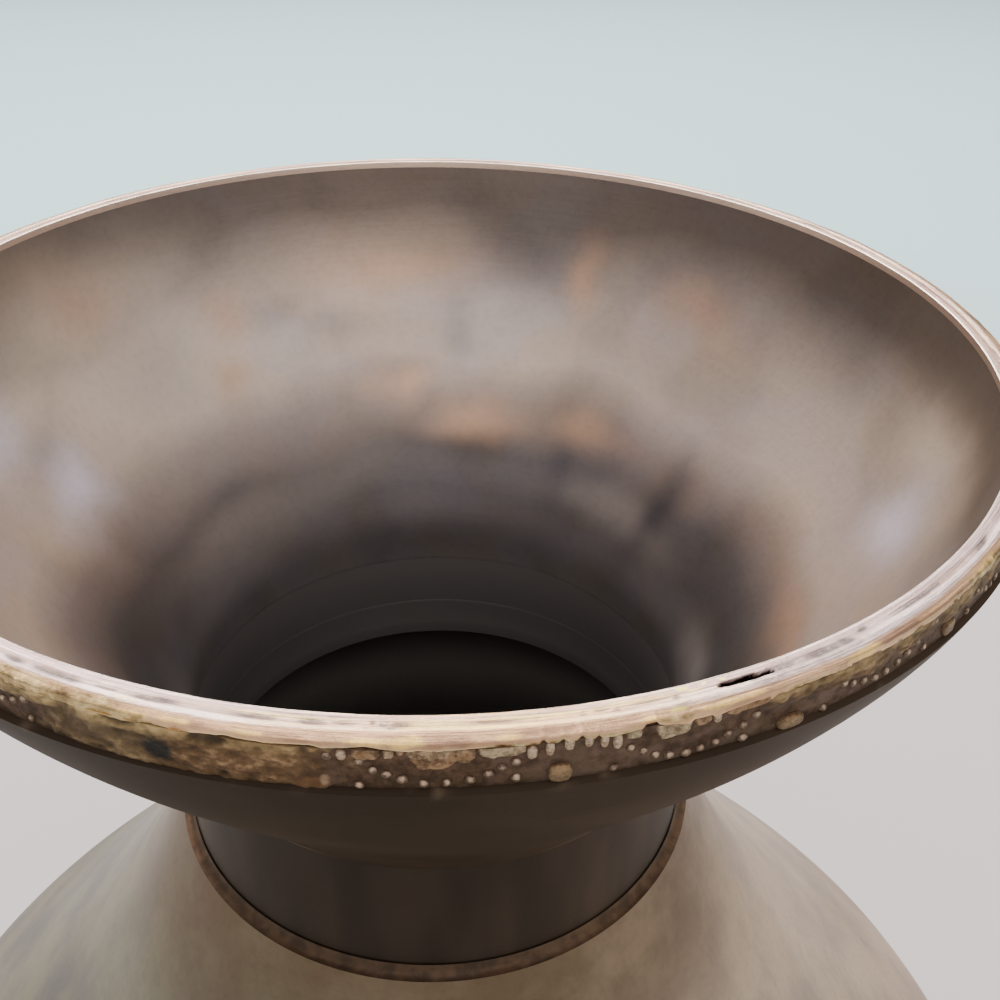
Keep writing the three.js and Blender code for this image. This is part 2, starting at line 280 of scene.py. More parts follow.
# Marks inside the bowl: middle azimuth and half width in degrees, then middle and half width as
# shares of the way down
COOL_MARKS = (
    (195.4, 6, 0.385, 0.05), (205.7, 6, 0.31, 0.04), (186.9, 7, 0.5, 0.04), (176.6, 3, 0.42, 0.09),
    (149, 3, 0.73, 0.08), (160, 9, 0.22, 0.09), (232, 8, 0.36, 0.09),
    (258, 5, 0.39, 0.07), (97, 10, 0.84, 0.07),
)
DARK_STREAK = (123.4, 4, 0.69, 0.16)
WARM_MARKS = (
    (236.6, 7, 0.17, 0.075), (145.7, 8, 0.6, 0.05), (171, 11, 0.62, 0.05), (186, 5, 0.54, 0.05),
    (219.4, 4, 0.44, 0.06), (187, 12, 0.23, 0.08), (133.7, 7, 0.27, 0.07), (154, 2.5, 0.24, 0.1),
    (70, 14, 0.55, 0.04), (215, 5, 0.3, 0.05),
)
LIGHT_MARKS = ((240, 19, 0.17, 0.14), (238, 25, 0.36, 0.17), (256, 13, 0.3, 0.12), (80, 15, 0.19, 0.09))
# Patches inside the bowl lifted lighter: painted light
LIFT_MARKS = ((236, 28, 0.77, 0.075), (238, 22, 0.6, 0.12), (132, 18, 0.77, 0.05), (84, 16, 0.82, 0.05))
SHADE_MARKS = ((176, 21, 0.2, 0.13), (172, 13, 0.68, 0.055))
FAR_SHADE = (182, 22, 0.42, 0.15)
# Lavender-white glints inside the bowl: painted reflections
PAINTED_REFLECTION_MARKS = ((257, 5.5, 0.49, 0.07), (75.4, 7, 0.31, 0.08), (263, 5, 0.27, 0.1))


def tone(red, green, blue):
    """A display colour from 0 to 255 as the linear colour that a shader takes."""
    levels = [value / 255 for value in (red, green, blue)]
    return tuple(v / 12.92 if v < 0.04045 else ((v + 0.055) / 1.055) ** 2.4 for v in levels) + (1,)


def set_stops(ramp, stops):
    """Gives a colour ramp its stops, each with a display colour from 0 to 255."""
    elements = ramp.color_ramp.elements
    while len(elements) < len(stops):
        elements.new(0.5)
    for element, (position, colour) in zip(elements, stops):
        element.position = position
        element.color = tone(*colour)


def hashed(cells, seed):
    """A steady pseudo-random value from 0 to 1 for each lattice cell."""
    mixed = cells[..., 0] * 374761393 + cells[..., 1] * 668265263 + cells[..., 2] * 974634777
    mixed = (mixed + seed * 1274126177) & 0xFFFFFFFF
    mixed = ((mixed ^ (mixed >> 13)) * 1274126177) & 0xFFFFFFFF
    return ((mixed ^ (mixed >> 16)) & 0xFFFF) / 0xFFFF


def grain(points, size, seed, octaves=3):
    """Value noise from -1 to 1 over points in metres, with lumps of about that size in mm."""
    total = np.zeros(points.shape[:-1])
    weight, weights = 1.0, 0.0
    for octave in range(octaves):
        at = points * (2 ** octave / (size * MM)) + 100.0
        low = np.floor(at).astype(np.int64)
        part = at - low
        part = part * part * (3 - 2 * part)
        value = np.zeros(points.shape[:-1])
        for corner in np.ndindex(2, 2, 2):
            share = np.prod(np.where(np.array(corner) == 1, part, 1 - part), axis=-1)
            value += share * hashed(low + np.array(corner), seed + octave)
        total += weight * (value * 2 - 1)
        weights += weight
        weight *= 0.5
    return total / weights


def blend(low, high, value):
    """0 below low, 1 above high, and smooth between them."""
    part = np.clip((value - low) / (high - low), 0, 1)
    return part * part * (3 - 2 * part)


def clear_of_ends(height, low, high, margin):
    """0 at the two heights where a wall meets its neighbours, and 1 from the margin on."""
    return blend(0, margin, height - low) * blend(0, margin, high - height)


def spots(azimuth, along, places, ragged=0, softness=0):
    """A mask that is 1 in the middle of each spot and fades to 0 at its edge, or beyond it where it
    is soft. A spot gives its middle azimuth and half width in degrees, then its middle and half
    width along the other way."""
    mask = np.zeros(azimuth.shape)
    for middle, half_turn, level, half_length in places:
        turn = np.degrees(np.angle(np.exp(1j * (azimuth - math.radians(middle)))))
        distance = np.hypot(turn / half_turn, (along - level) / half_length) + ragged
        sharp = 1 - blend(0.45, 1, distance)
        soft = np.exp(-distance ** 2)
        mask = np.maximum(mask, sharp + softness * (soft - sharp))
    return mask


def run_down(top, top_hold, foot, foot_hold, steps):
    """Points of a curve that runs down from top to foot, each end held to its lean."""
    top, foot = np.array(top), np.array(foot)
    top_lean, foot_lean = math.radians(top_hold[0]), math.radians(foot_hold[0])
    top_handle = top + top_hold[1] * np.array([math.sin(top_lean), -math.cos(top_lean)])
    foot_handle = foot - foot_hold[1] * np.array([math.sin(foot_lean), -math.cos(foot_lean)])
    part = np.linspace(0, 1, steps + 1)[:, None]
    rest = 1 - part
    return (
        rest ** 3 * top + 3 * rest * rest * part * top_handle
        + 3 * rest * part * part * foot_handle + part ** 3 * foot)


def soften(outline, rounds):
    """The outline with each point between its ends moved halfway to its neighbours' middle."""
    for _ in range(rounds):
        middle = (outline[:-2] + outline[2:]) / 2
        outline = np.concatenate([outline[:1], (outline[1:-1] + middle) / 2, outline[-1:]])
    return outline


def inner_wall(outline, wall, lowest, highest):
    """The outline moved inward by a wall, kept between two heights."""
    along = np.gradient(outline, axis=0)
    along /= np.linalg.norm(along, axis=1)[:, None]
    moved = outline + wall * np.stack([along[:, 1], -along[:, 0]], axis=1)
    return moved[(moved[:, 1] > lowest) & (moved[:, 1] < highest)]


def at_height(height, curve, values):
    """The values given along a curve that runs down, at each height."""
    return np.interp(-height, -curve[:, 1], values)


def grid_faces(rows, columns, close_rows):
    """Quads over a grid whose columns go round and close, and whose rows may close too."""
    row = np.arange(rows if close_rows else rows - 1)[:, None]
    column = np.arange(columns)[None, :]
    upper = (row + 1) % rows
    following = (column + 1) % columns
    corners = [
        row * columns + column,
        row * columns + following,
        upper * columns + following,
        upper * columns + column,
    ]
    return np.stack(np.broadcast_arrays(*corners), axis=-1).reshape(-1, 4)


def capped_faces(rows, columns):
    """Quads over a grid whose columns go round and close, with a face over each end of its rows."""
    faces = [tuple(face) for face in grid_faces(rows, columns, close_rows=False)]
    faces.append(tuple(range(columns - 1, -1, -1)))
    faces.append(tuple(range((rows - 1) * columns, rows * columns)))
    return faces


def make_piece(name, vertices, faces, material, replaces=(), masks=None):
    """A mesh object in the frame, smooth but for its sharp edges, that rides on the vase."""
    mesh = bpy.data.meshes.new(name)
    mesh.from_pydata(vertices, [], faces)
    mesh.shade_smooth()
    mesh.set_sharp_from_angle(angle=math.radians(40))
    for mask, values in (masks or {}).items():
        layer = mesh.attributes.new(mask, "FLOAT", "POINT")
        layer.data.foreach_set("value", np.ravel(values).astype(np.float32))
    mesh.materials.append(material)
    piece = bpy.data.objects.new(name, mesh)
    bpy.context.scene.collection.objects.link(piece)
    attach(piece, "root")
    if replaces:
        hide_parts(*replaces)
    return piece


class Turned:
    """A closed outline turned round the axis, as grids of azimuth, radius and height."""

    def __init__(self, outline, columns):
        outline = np.array(outline)
        radius, height = outline[:, 0], outline[:, 1]
        if np.sum(radius * np.roll(height, -1) - np.roll(radius, -1) * height) < 0:
            outline = outline[::-1]
        turn = np.linspace(-math.pi, math.pi, columns, endpoint=False)
        self.azimuth = turn + 0 * outline[:, :1]
        self.radius = outline[:, :1] + 0 * turn
        self.height = outline[:, 1:] + 0 * turn

    def points(self):
        return np.stack([
            self.radius * np.sin(self.azimuth), -self.radius * np.cos(self.azimuth), self.height], axis=-1)

    def dent(self, depth, size, seed):
        """Moves the wall in or out by up to that depth, in dents of about that size in mm."""
        self.radius = self.radius + depth * grain(self.points(), size, seed, octaves=2)

    def piece(self, name, material, slot, replaces, masks=None):
        faces = grid_faces(*self.radius.shape, close_rows=True)
        return make_piece(name, self.points().reshape(-1, 3), faces, material, replaces, masks)


class Finish:
    """A metal finish in the making. Each call adds a node and gives back its output."""

    def __init__(self, name):
        self.material = bpy.data.materials.new(name)
        self.material.use_nodes = True
        self.tree = self.material.node_tree
        self.shader = self.tree.nodes["Principled BSDF"]
        self.place = self.tree.nodes.new("ShaderNodeTexCoord").outputs["Object"]
        self.height = self.node("ShaderNodeSeparateXYZ", {"Vector": self.place}).outputs["Z"]
        flat = self.node(
            "ShaderNodeVectorMath", {0: self.place, 1: (1, 1, 0)}, operation="MULTIPLY").outputs[0]
        self.radius = self.node("ShaderNodeVectorMath", {0: flat}, operation="LENGTH").outputs["Value"]
        self.heading = self.node("ShaderNodeVectorMath", {0: flat}, operation="NORMALIZE").outputs[0]

    def node(self, kind, inputs, **settings):
        made = self.tree.nodes.new(kind)
        for setting, value in settings.items():
            setattr(made, setting, value)
        for name, value in inputs.items():
            self.feed(made.inputs[name], value)
        return made

    def feed(self, socket, value):
        """Links a node's output to the socket, or sets the socket to a plain value."""
        if isinstance(value, bpy.types.NodeSocket):
            self.tree.links.new(value, socket)
        else:
            socket.default_value = value

    def math(self, operation, first, second=0.0):
        return self.node("ShaderNodeMath", {0: first, 1: second}, operation=operation).outputs[0]

    def times(self, first, second):
        return self.math("MULTIPLY", first, second)

    def plus(self, first, second):
        return self.math("ADD", first, second)

    def around(self, radius, third, scale):
        """Coordinates that go round the axis at one radius, with a scaled value across them."""
        ring = self.node(
            "ShaderNodeVectorMath", {0: self.heading, "Scale": radius}, operation="SCALE").outputs[0]
        across = self.times(third, scale)
        lift = self.node("ShaderNodeCombineXYZ", {"Z": across}).outputs[0]
        return self.node("ShaderNodeVectorMath", {0: ring, 1: lift}, operation="ADD").outputs[0]

    def noise(self, place, size, detail=3.0, roughness=0.5, warp=0.0):
        """Noise from 0 to 1 with lumps of about that size in mm."""
        return self.node("ShaderNodeTexNoise", {
            "Vector": place, "Scale": 1 / (size * MM), "Detail": detail, "Roughness": roughness,
            "Distortion": warp,
        }).outputs["Fac"]

    def fade(self, value, low, high, start=0.0, end=1.0):
        return self.node("ShaderNodeMapRange", {
            "Value": value, "From Min": low, "From Max": high, "To Min": start, "To Max": end,
        }, interpolation_type="SMOOTHSTEP").outputs["Result"]

    def front(self):
        """1 in front and a little to the left, and 0 from the sides on: the share of painted shade."""
        ahead = self.node("ShaderNodeVectorMath", {0: self.heading, 1: FRONT}, operation="DOT_PRODUCT")
        return self.fade(ahead.outputs["Value"], 0.55, 0.98)

    def mask(self, name):
        return self.node("ShaderNodeAttribute", {}, attribute_name=name).outputs["Fac"]

    def between(self, share, first, second):
        return self.node("ShaderNodeMix", {0: share, 6: first, 7: second}, data_type="RGBA").outputs[2]

    def mix(self, share, first, second):
        """Mixes two colours: each is a node's output or a display colour from 0 to 255."""
        first, second = [tone(*each) if isinstance(each, tuple) else each for each in (first, second)]
        return self.between(share, first, second)

    def coat(self, colour, *coats):
        """The colour under its coats. Each coat is a share or a mask's name, then a colour, and may
        have an amount that the share is multiplied by."""
        for share, other, *amount in coats:
            if isinstance(share, str):
                share = self.mask(share)
            if amount:
                share = self.times(share, amount[0])
            colour = self.mix(share, colour, other)
        return colour

    def multiply(self, colour, other):
        settings = {"data_type": "RGBA", "blend_type": "MULTIPLY"}
        return self.node("ShaderNodeMix", {0: 1.0, 6: colour, 7: other}, **settings).outputs[2]

    def tint(self, colour, share, cool, warm):
        """Multiplies the colour by the cool or the warm factors, by the share."""
        return self.multiply(colour, self.between(share, (*cool, 1), (*warm, 1)))

    def darken(self, colour, share, amount):
        """Multiplies the colour by a value that falls from 1 to 1 - amount with the share."""
        level = self.math("SUBTRACT", 1.0, self.times(share, amount))
        grey = self.node("ShaderNodeCombineColor", {0: level, 1: level, 2: level}).outputs[0]
        return self.multiply(colour, grey)

    def ramp(self, value, stops):
        made = self.node("ShaderNodeValToRGB", {"Fac": value})
        set_stops(made, stops)
        return made.outputs["Color"]

    def done(self, colour, roughness, relief=None, depth=0.05 * MM, metallic=1.0, specular=0.5):
        """Gives the shader its colour and gloss, and a bump of that depth, and returns the material."""
        inputs = self.shader.inputs
        self.feed(inputs["Base Color"], colour)
        self.feed(inputs["Roughness"], roughness)
        self.feed(inputs["Metallic"], metallic)
        self.feed(inputs["Specular IOR Level"], specular)
        if relief is not None:
            bump = self.node("ShaderNodeBump", {"Height": relief, "Distance": depth, "Strength": 1.0})
            self.feed(inputs["Normal"], bump.outputs["Normal"])
        return self.material


def bright_brass():
    """The lip: worn almost white on top and tan outside, with painted reflection cooler at the sides than
    in front.
    """
    f = Finish("bright_brass")
    line = f.noise(f.around(0.004, f.radius, 2.2), 0.5, detail=4, roughness=0.65)
    broad = f.noise(f.around(0.006, f.radius, 1.6), 1.2, detail=3)
    cloud = f.noise(f.place, 7, detail=3)
    speck = f.noise(f.place, 0.45, detail=4, roughness=0.7)
    # The warm mask sets the top's painted reflection: warm in front and behind, cool lavender at the sides.
    warm = f.mask("warm")
    dull = f.fade(f.radius, LIP_INNER + 0.3 * MM, LIP_INNER + 0.5 * MM)
    dull = f.times(dull, f.fade(f.radius, LIP_INNER + 0.75 * MM, LIP_INNER + 1 * MM, 0.6, 0))
    # Painted highlights: a thin bright line along the inner edge, and one along the crest before the
    # chamfer, where the edge is also polished bright by wear.
    arris_highlight = f.fade(f.radius, LIP_INNER + 0.1 * MM, LIP_INNER + 0.25 * MM, 1, 0)
    ridge = f.fade(f.radius, LIP_CHAMFER_START - 0.6 * MM, LIP_CHAMFER_START - 0.3 * MM, 0, 0.75)
    ridge = f.times(ridge, f.fade(broad, 0.36, 0.58, 1, 0.55))
    top = f.coat(
        f.mix(warm, (255, 230, 222), (255, 214, 154)),
        (f.fade(line, 0.38, 0.6), f.mix(warm, (198, 168, 166), (210, 158, 116))),
        (f.fade(broad, 0.48, 0.62, 0, 0.5), (186, 156, 150)),
        (dull, (188, 156, 152)),
        (arris_highlight, (255, 240, 226)),
        (ridge, f.mix(warm, (255, 232, 226), (255, 214, 152))),
        # cream: painted highlights
        ("cream", (255, 226, 136), f.fade(line, 0.3, 0.6, 0.9, 0.5)),
        ("groove", (160, 130, 114), f.fade(broad, 0.42, 0.56, 0.05, 0.6)),
        ("mauve", (148, 124, 122), 0.7),
        ("streak", (92, 84, 80), f.fade(speck, 0.34, 0.6, 0.75, 0.95)),
        ("scuff", (118, 114, 117), f.fade(speck, 0.38, 0.5, 0.35, 1)))
    # The crust's colour follows its lumps: its own olive and tan, with painted highlights on the lumps'
    # tops and painted shade between them.
    crust = f.ramp(f.plus(f.mask("lumps"), f.fade(speck, 0.2, 0.8, -0.15, 0.15)), (
        (0.2, (112, 90, 62)), (0.45, (170, 142, 96)), (0.62, (208, 178, 126)), (0.8, (246, 216, 160))))
    side = f.coat(
        (240, 196, 154),
        (f.fade(line, 0.32, 0.68), (188, 146, 114)),
        (f.fade(cloud, 0.46, 0.66, 0, 0.6), (208, 166, 120)),
        (f.fade(speck, 0.5, 0.7, 0, 0.4), (160, 124, 98)),
        ("mauve", (152, 118, 98), 0.75),
        ("gold", (255, 214, 132), f.fade(speck, 0.3, 0.55, 0.45, 0.95)),
        # rim: a painted highlight along the side's lower edge
        ("rim", (255, 222, 168), f.fade(broad, 0.42, 0.55, 0.3, 1)),
        ("crust", crust, 0.85))
    colour = f.coat(
        top,
        ("side", side),
        ("glint", (255, 240, 120), 0.85),
        ("slot", (14, 11, 9)),
        # under: the lip's underside painted dark as shade
        ("under", (58, 43, 33)))
    rough = f.fade(f.mask("side"), 0, 1, 0.32, 0.48)
    relief = f.plus(line, f.times(speck, 0.8))
    return f.done(colour, rough, relief, 0.07 * MM)


def band_brass():
    """The strip: brown ground, tan folds, and a crust of old polish that is olive or brown, with painted
    light on its lumps and painted shade in the recesses under the lip.
    """
    f = Finish("band_brass")
    lump = f.noise(f.place, 1.3, detail=5, roughness=0.6)
    speck = f.noise(f.place, 0.4, detail=4, roughness=0.7)
    patch = f.noise(f.place, 4, detail=3)
    ground = f.coat(
        (66, 47, 34),
        (f.fade(lump, 0.35, 0.7), (104, 78, 60)),
        (f.fade(patch, 0.5, 0.7, 0, 0.7), (78, 63, 44)),
        (f.fade(patch, 0.3, 0.45, 0.6, 0), (108, 84, 72)),
        ("right", (116, 92, 78)),
        ("foot", (72, 55, 42), 0.5))
    folds = f.fade(f.plus(f.times(lump, 0.6), f.times(speck, 0.4)), 0.38, 0.6)
    brown = f.mix(folds, (92, 66, 48), (166, 128, 94))
    cream = f.mix(folds, (128, 106, 80), (208, 182, 148))
    swag = f.coat(brown, ("pale", cream), ("ochre", (152, 110, 72), 0.45))
    # The crust's colour follows its lumps: its own olive and brown, with painted highlights on the lumps'
    # tops and painted shade between them.
    lumps = f.plus(f.mask("lumps"), f.times(f.math("SUBTRACT", speck, 0.5), 0.5))
    olive_crust = f.ramp(lumps, (
        (0.1, (74, 57, 41)), (0.42, (98, 79, 55)), (0.62, (114, 93, 65)), (0.9, (150, 124, 86))))
    brown_crust = f.ramp(lumps, (
        (0.1, (58, 41, 29)), (0.4, (92, 67, 45)), (0.62, (114, 85, 58)), (0.9, (176, 140, 102))))
    crust = f.coat(
        olive_crust,
        ("orange", brown_crust),
        ("high", (224, 188, 130), f.fade(lumps, 0.2, 0.7, 0.3, 0.9)),
        # recess: painted shade under the lip
        ("recess", (48, 36, 27), 0.8),
        ("lump", (134, 90, 58), 0.3),
        ("edge", (196, 160, 128), 0.5),
        ("foot", (78, 59, 43), 0.5))
    colour = f.coat(ground, ("swag", swag), ("crust", crust), ("verdigris", (34, 32, 31), 0.92))
    return f.done(colour, 0.58, f.plus(speck, lump), 0.1 * MM, metallic=0.3, specular=0.15)


def bead_brass():
    """Beads and bosses: as brown as the ground, with a painted highlight in pale brass on each one's upper
    side.
    """
    f = Finish("bead_brass")
    speck = f.noise(f.place, 0.35, detail=4, roughness=0.65)
    grainy = f.fade(speck, 0.3, 0.7)
    tooth = f.mix(grainy, (134, 104, 80), (206, 176, 146))
    block = f.mix(grainy, (92, 71, 49), (130, 103, 73))
    # A painted highlight on each bead's and boss's upper side
    shine = f.fade(f.plus(f.mask("top_highlight"), f.times(speck, 0.5)), 0.8, 1.2)
    top_highlight = f.mix(f.mask("boss"), (218, 184, 156), (166, 132, 96))
    colour = f.coat(
        (80, 60, 46), (grainy, (128, 102, 82)), ("tooth", tooth), ("boss", block), (shine, top_highlight))
    metal = f.fade(shine, 0, 1, 0.3, 0.7)
    return f.done(colour, 0.5, speck, 0.08 * MM, metallic=metal, specular=0.3)


def mouth_brass():
    """The bowl: clouded brown and grey inside, with painted reflection and shade that make it darker under
    the lip and in the throat, and almost black brown outside, with painted shade in front and painted
    highlights by the ledge and the neck."""
    f = Finish("mouth_brass")
    sway = f.noise(f.place, 30, detail=2, roughness=0.4)
    cloud = f.noise(f.place, 17, detail=2, roughness=0.4)
    veil = f.noise(f.around(0.085, f.height, 1.8), 24, detail=3, roughness=0.45)
    fine = f.noise(f.place, 1.6, detail=4, roughness=0.6)
    turned = f.noise(f.around(0.004, f.height, 1.6), 1.2, detail=2)
    down = f.plus(f.mask("down"), f.fade(sway, 0.3, 0.7, -0.028, 0.028))
    # Painted reflection and shade down the inside: darker just under the lip, a lighter band below where
    # the sky is reflected, and darker again as painted shade in the throat.
    inside = f.ramp(down, (
        (0.0, (140, 128, 120)), (0.1, (134, 122, 114)), (0.3, (198, 181, 170)), (0.48, (208, 190, 177)),
        (0.58, (156, 141, 133)), (0.69, (106, 99, 97)), (0.78, (92, 87, 86)), (0.88, (104, 98, 97)),
        (1.0, (112, 107, 105))))
    inside = f.tint(inside, f.fade(veil, 0.38, 0.62), (0.99, 1.0, 1.03), (1.02, 0.99, 0.93))
    inside = f.darken(inside, f.fade(cloud, 0.48, 0.7), 0.13)
    inside = f.darken(inside, f.mask("shade"), 0.4)
    # Painted light: lighter patches inside the bowl
    inside = f.coat(inside, ("light", (250, 230, 208), 0.8), ("lift", (176, 164, 156), 0.45))
    inside = f.tint(inside, f.mask("cool"), (1, 1, 1), (0.56, 0.58, 0.64))
    # The lavender-white marks are painted reflections.
    inside = f.coat(inside, ("warm", (218, 172, 138), 0.5), ("painted_reflection", (246, 238, 250), 0.85))
    outside = f.mix(f.fade(veil, 0.35, 0.7), (60, 46, 33), (72, 56, 42))
    # Painted shade on the front
    outside = f.darken(outside, f.front(), 0.3)
    # edge: painted highlights on the ledge and by the neck
    colour = f.coat(outside, ("edge", (112, 92, 74)), ("inside", inside))
    colour = f.darken(colour, f.fade(fine, 0.4, 0.75), 0.07)
    rough = f.fade(f.mask("inside"), 0, 1, 0.6, 0.5)
    metal = f.times(f.mask("inside"), f.fade(down, 0.7, 1.0, 1.0, 0.15))
    metal = f.math("MAXIMUM", metal, 0.12)
    relief = f.plus(fine, f.times(turned, 0.5))
    return f.done(colour, rough, relief, 0.03 * MM, metallic=metal, specular=0.12)


def dark_brass():
    """The neck and the bottom disc: dark brown patina with a painted sheen in soft upright streaks and
    painted shade on the front; inside the neck, a grey that darkens down the throat as painted shade.
    """
    f = Finish("dark_brass")
    upright_sheen = f.noise(f.around(0.046, f.height, 0.2), 9, detail=2, roughness=0.4)
    cloud = f.noise(f.place, 16, detail=3)
    fine = f.noise(f.place, 1.2, detail=4, roughness=0.6)
    # A painted sheen in soft upright streaks
    colour = f.mix(f.fade(upright_sheen, 0.35, 0.7), (60, 47, 35), (76, 60, 47))
    colour = f.coat(colour, (f.fade(cloud, 0.5, 0.7, 0, 0.5), (66, 49, 35)))
    # Painted shade on the front
    colour = f.darken(colour, f.front(), 0.42)
    # Inside the neck: grey that darkens further down the throat, as painted shade
    bore = f.mix(f.fade(f.height, SPIGOT_TOP, BOWL_FOOT), (90, 86, 84), (100, 95, 93))
    colour = f.coat(colour, ("bore", bore))
    return f.done(colour, 0.58, fine, 0.04 * MM, metallic=0.15, specular=0.15)


def hard_solder():
    """The ring of solder: brown tarnish with dark pits."""
    f = Finish("hard_solder")
    lump = f.noise(f.place, 3, detail=5, roughness=0.6)
    colour = f.mix(f.fade(lump, 0.35, 0.65), (84, 62, 44), (112, 84, 60))
    # Painted shade on the front
    colour = f.darken(colour, f.front(), 0.3)
    return f.done(colour, 0.6, lump, 0.15 * MM, metallic=0.5)


def body_brass():
    """The body: worn patina in soft clouds and brown near the neck, with painted light that makes it tan on
    the right side and olive on the left."""
    f = Finish("body_brass")
    cloud = f.noise(f.place, 48, detail=3, roughness=0.4)
    other = f.noise(f.place, 22, detail=6, roughness=0.58)
    fine = f.noise(f.place, 1.8, detail=4, roughness=0.6)
    turned = f.noise(f.around(0.006, f.height, 1.6), 1.2, detail=2)
    # Painted light: lighter and tan on the right side, darker and olive on the left
    sideways = f.node("ShaderNodeSeparateXYZ", {"Vector": f.heading}).outputs["X"]
    sideways = f.plus(sideways, f.fade(cloud, 0.3, 0.7, -0.35, 0.35))
    left = f.mix(f.fade(other, 0.32, 0.7), (144, 134, 110), (118, 108, 99))
    right = f.mix(f.fade(other, 0.32, 0.7), (200, 171, 143), (170, 145, 127))
    near_neck = f.fade(f.radius, FILLET_RADIUS, FILLET_RADIUS + 20 * MM, 0.95, 0)
    near_neck = f.times(near_neck, f.fade(other, 0.3, 0.6, 0.75, 1))
    colour = f.coat(left, (f.fade(sideways, -0.6, 0.7), right), (near_neck, (112, 88, 66)))
    colour = f.darken(colour, f.fade(fine, 0.4, 0.75), 0.1)
    # Inside the body: a pale tone stands in for light inside it as painted light, stepping down near the
    # neck and in the spigot to the darker painted shade of the throat.
    depth = f.fade(f.height, NECK_SEAT - 30 * MM, NECK_SEAT - 8 * MM)
    throat = f.fade(f.height, NECK_SEAT - 4 * MM, SPIGOT_TOP)
    within = f.coat((168, 163, 157), (depth, (90, 86, 83)), (throat, (80, 76, 74)))
    colour = f.coat(colour, ("within", within))
    metal = f.fade(f.mask("within"), 0, 1, 0.85, 0.2)
    rough = f.fade(cloud, 0.3, 0.7, 0.4, 0.52)
    relief = f.plus(fine, f.times(turned, 0.4))
    return f.done(colour, rough, relief, 0.04 * MM, metallic=metal)


def foot_brass():
    """The foot: brown patina, rubbed brighter on its outer edge."""
    f = Finish("foot_brass")
    cloud = f.noise(f.place, 14, detail=4, roughness=0.6, warp=0.3)
    fine = f.noise(f.place, 1.5, detail=4, roughness=0.6)
    worn = f.times(f.fade(f.radius, RING_RADIUS - 3 * MM, RING_RADIUS, 0, 0.7), f.fade(fine, 0.35, 0.6))
    colour = f.coat((118, 98, 72), (f.fade(cloud, 0.35, 0.65), (160, 138, 106)), (worn, (206, 182, 140)))
    return f.done(colour, 0.42, fine, 0.05 * MM)


def lip_edge_drop(azimuth, points):
    """How far the lip's outer face hangs under its seat, in mm: as seen in front, and worn behind."""
    turn = np.degrees(azimuth)
    places, drops = zip(*LIP_EDGE)
    seen = np.interp(turn, places, drops)
    behind = blend(0, 6, np.maximum(places[0] - turn, turn - places[-1]))
    return seen + 0.35 * behind * grain(points, 9, 19) + 0.11 * grain(points, 1.0, 20, octaves=2)


def more_marks(seed, count, half_turns, places, half_widths):
    """Marks like those in front, scattered over the part of the lip that is out of sight. Each pair
    gives the least and the most."""
    chance = np.random.RandomState(seed)
    marks = []
    for _ in range(count):
        azimuth = chance.uniform(*HIDDEN)
        half_turn, place = chance.uniform(*half_turns), chance.uniform(*places)
        marks.append((azimuth, half_turn, place, chance.uniform(*half_widths)))
    return tuple(marks)


def lip_outline():
    """The lip's section: its bore, its flat top, the chamfer, its side and the edge on the seat."""
    top, crest = LIP_TOP, LIP_CHAMFER_START
    recess = LIP_OUTER - GROUND_DEPTH - 0.02 * MM
    across = np.linspace(LIP_INNER + 0.25 * MM, crest - 0.1 * MM, 12)
    slope = np.linspace(crest + 0.2 * MM, LIP_OUTER - 0.08 * MM, 6)
    side = np.linspace(top - LIP_CHAMFER_DROP - 0.06 * MM, LIP_SEAT + 0.05 * MM, 6)
    return [
        (LIP_INNER, LIP_SEAT),
        (LIP_INNER, top - 0.3 * MM),
        (LIP_INNER + 0.02 * MM, top - 0.09 * MM),
        (LIP_INNER + 0.1 * MM, top - 0.02 * MM),
        *[(radius, top) for radius in across],
        (crest + 0.05 * MM, top - 0.02 * MM),
        *[(radius, top - LIP_CHAMFER_DROP * (radius - crest) / (LIP_OUTER - crest)) for radius in slope],
        *[(LIP_OUTER, height) for height in side],
        (LIP_OUTER - 0.03 * MM, LIP_SEAT),
        (recess, LIP_SEAT),
        (recess - 0.02 * MM, LIP_SEAT - 0.01 * MM),
    ]


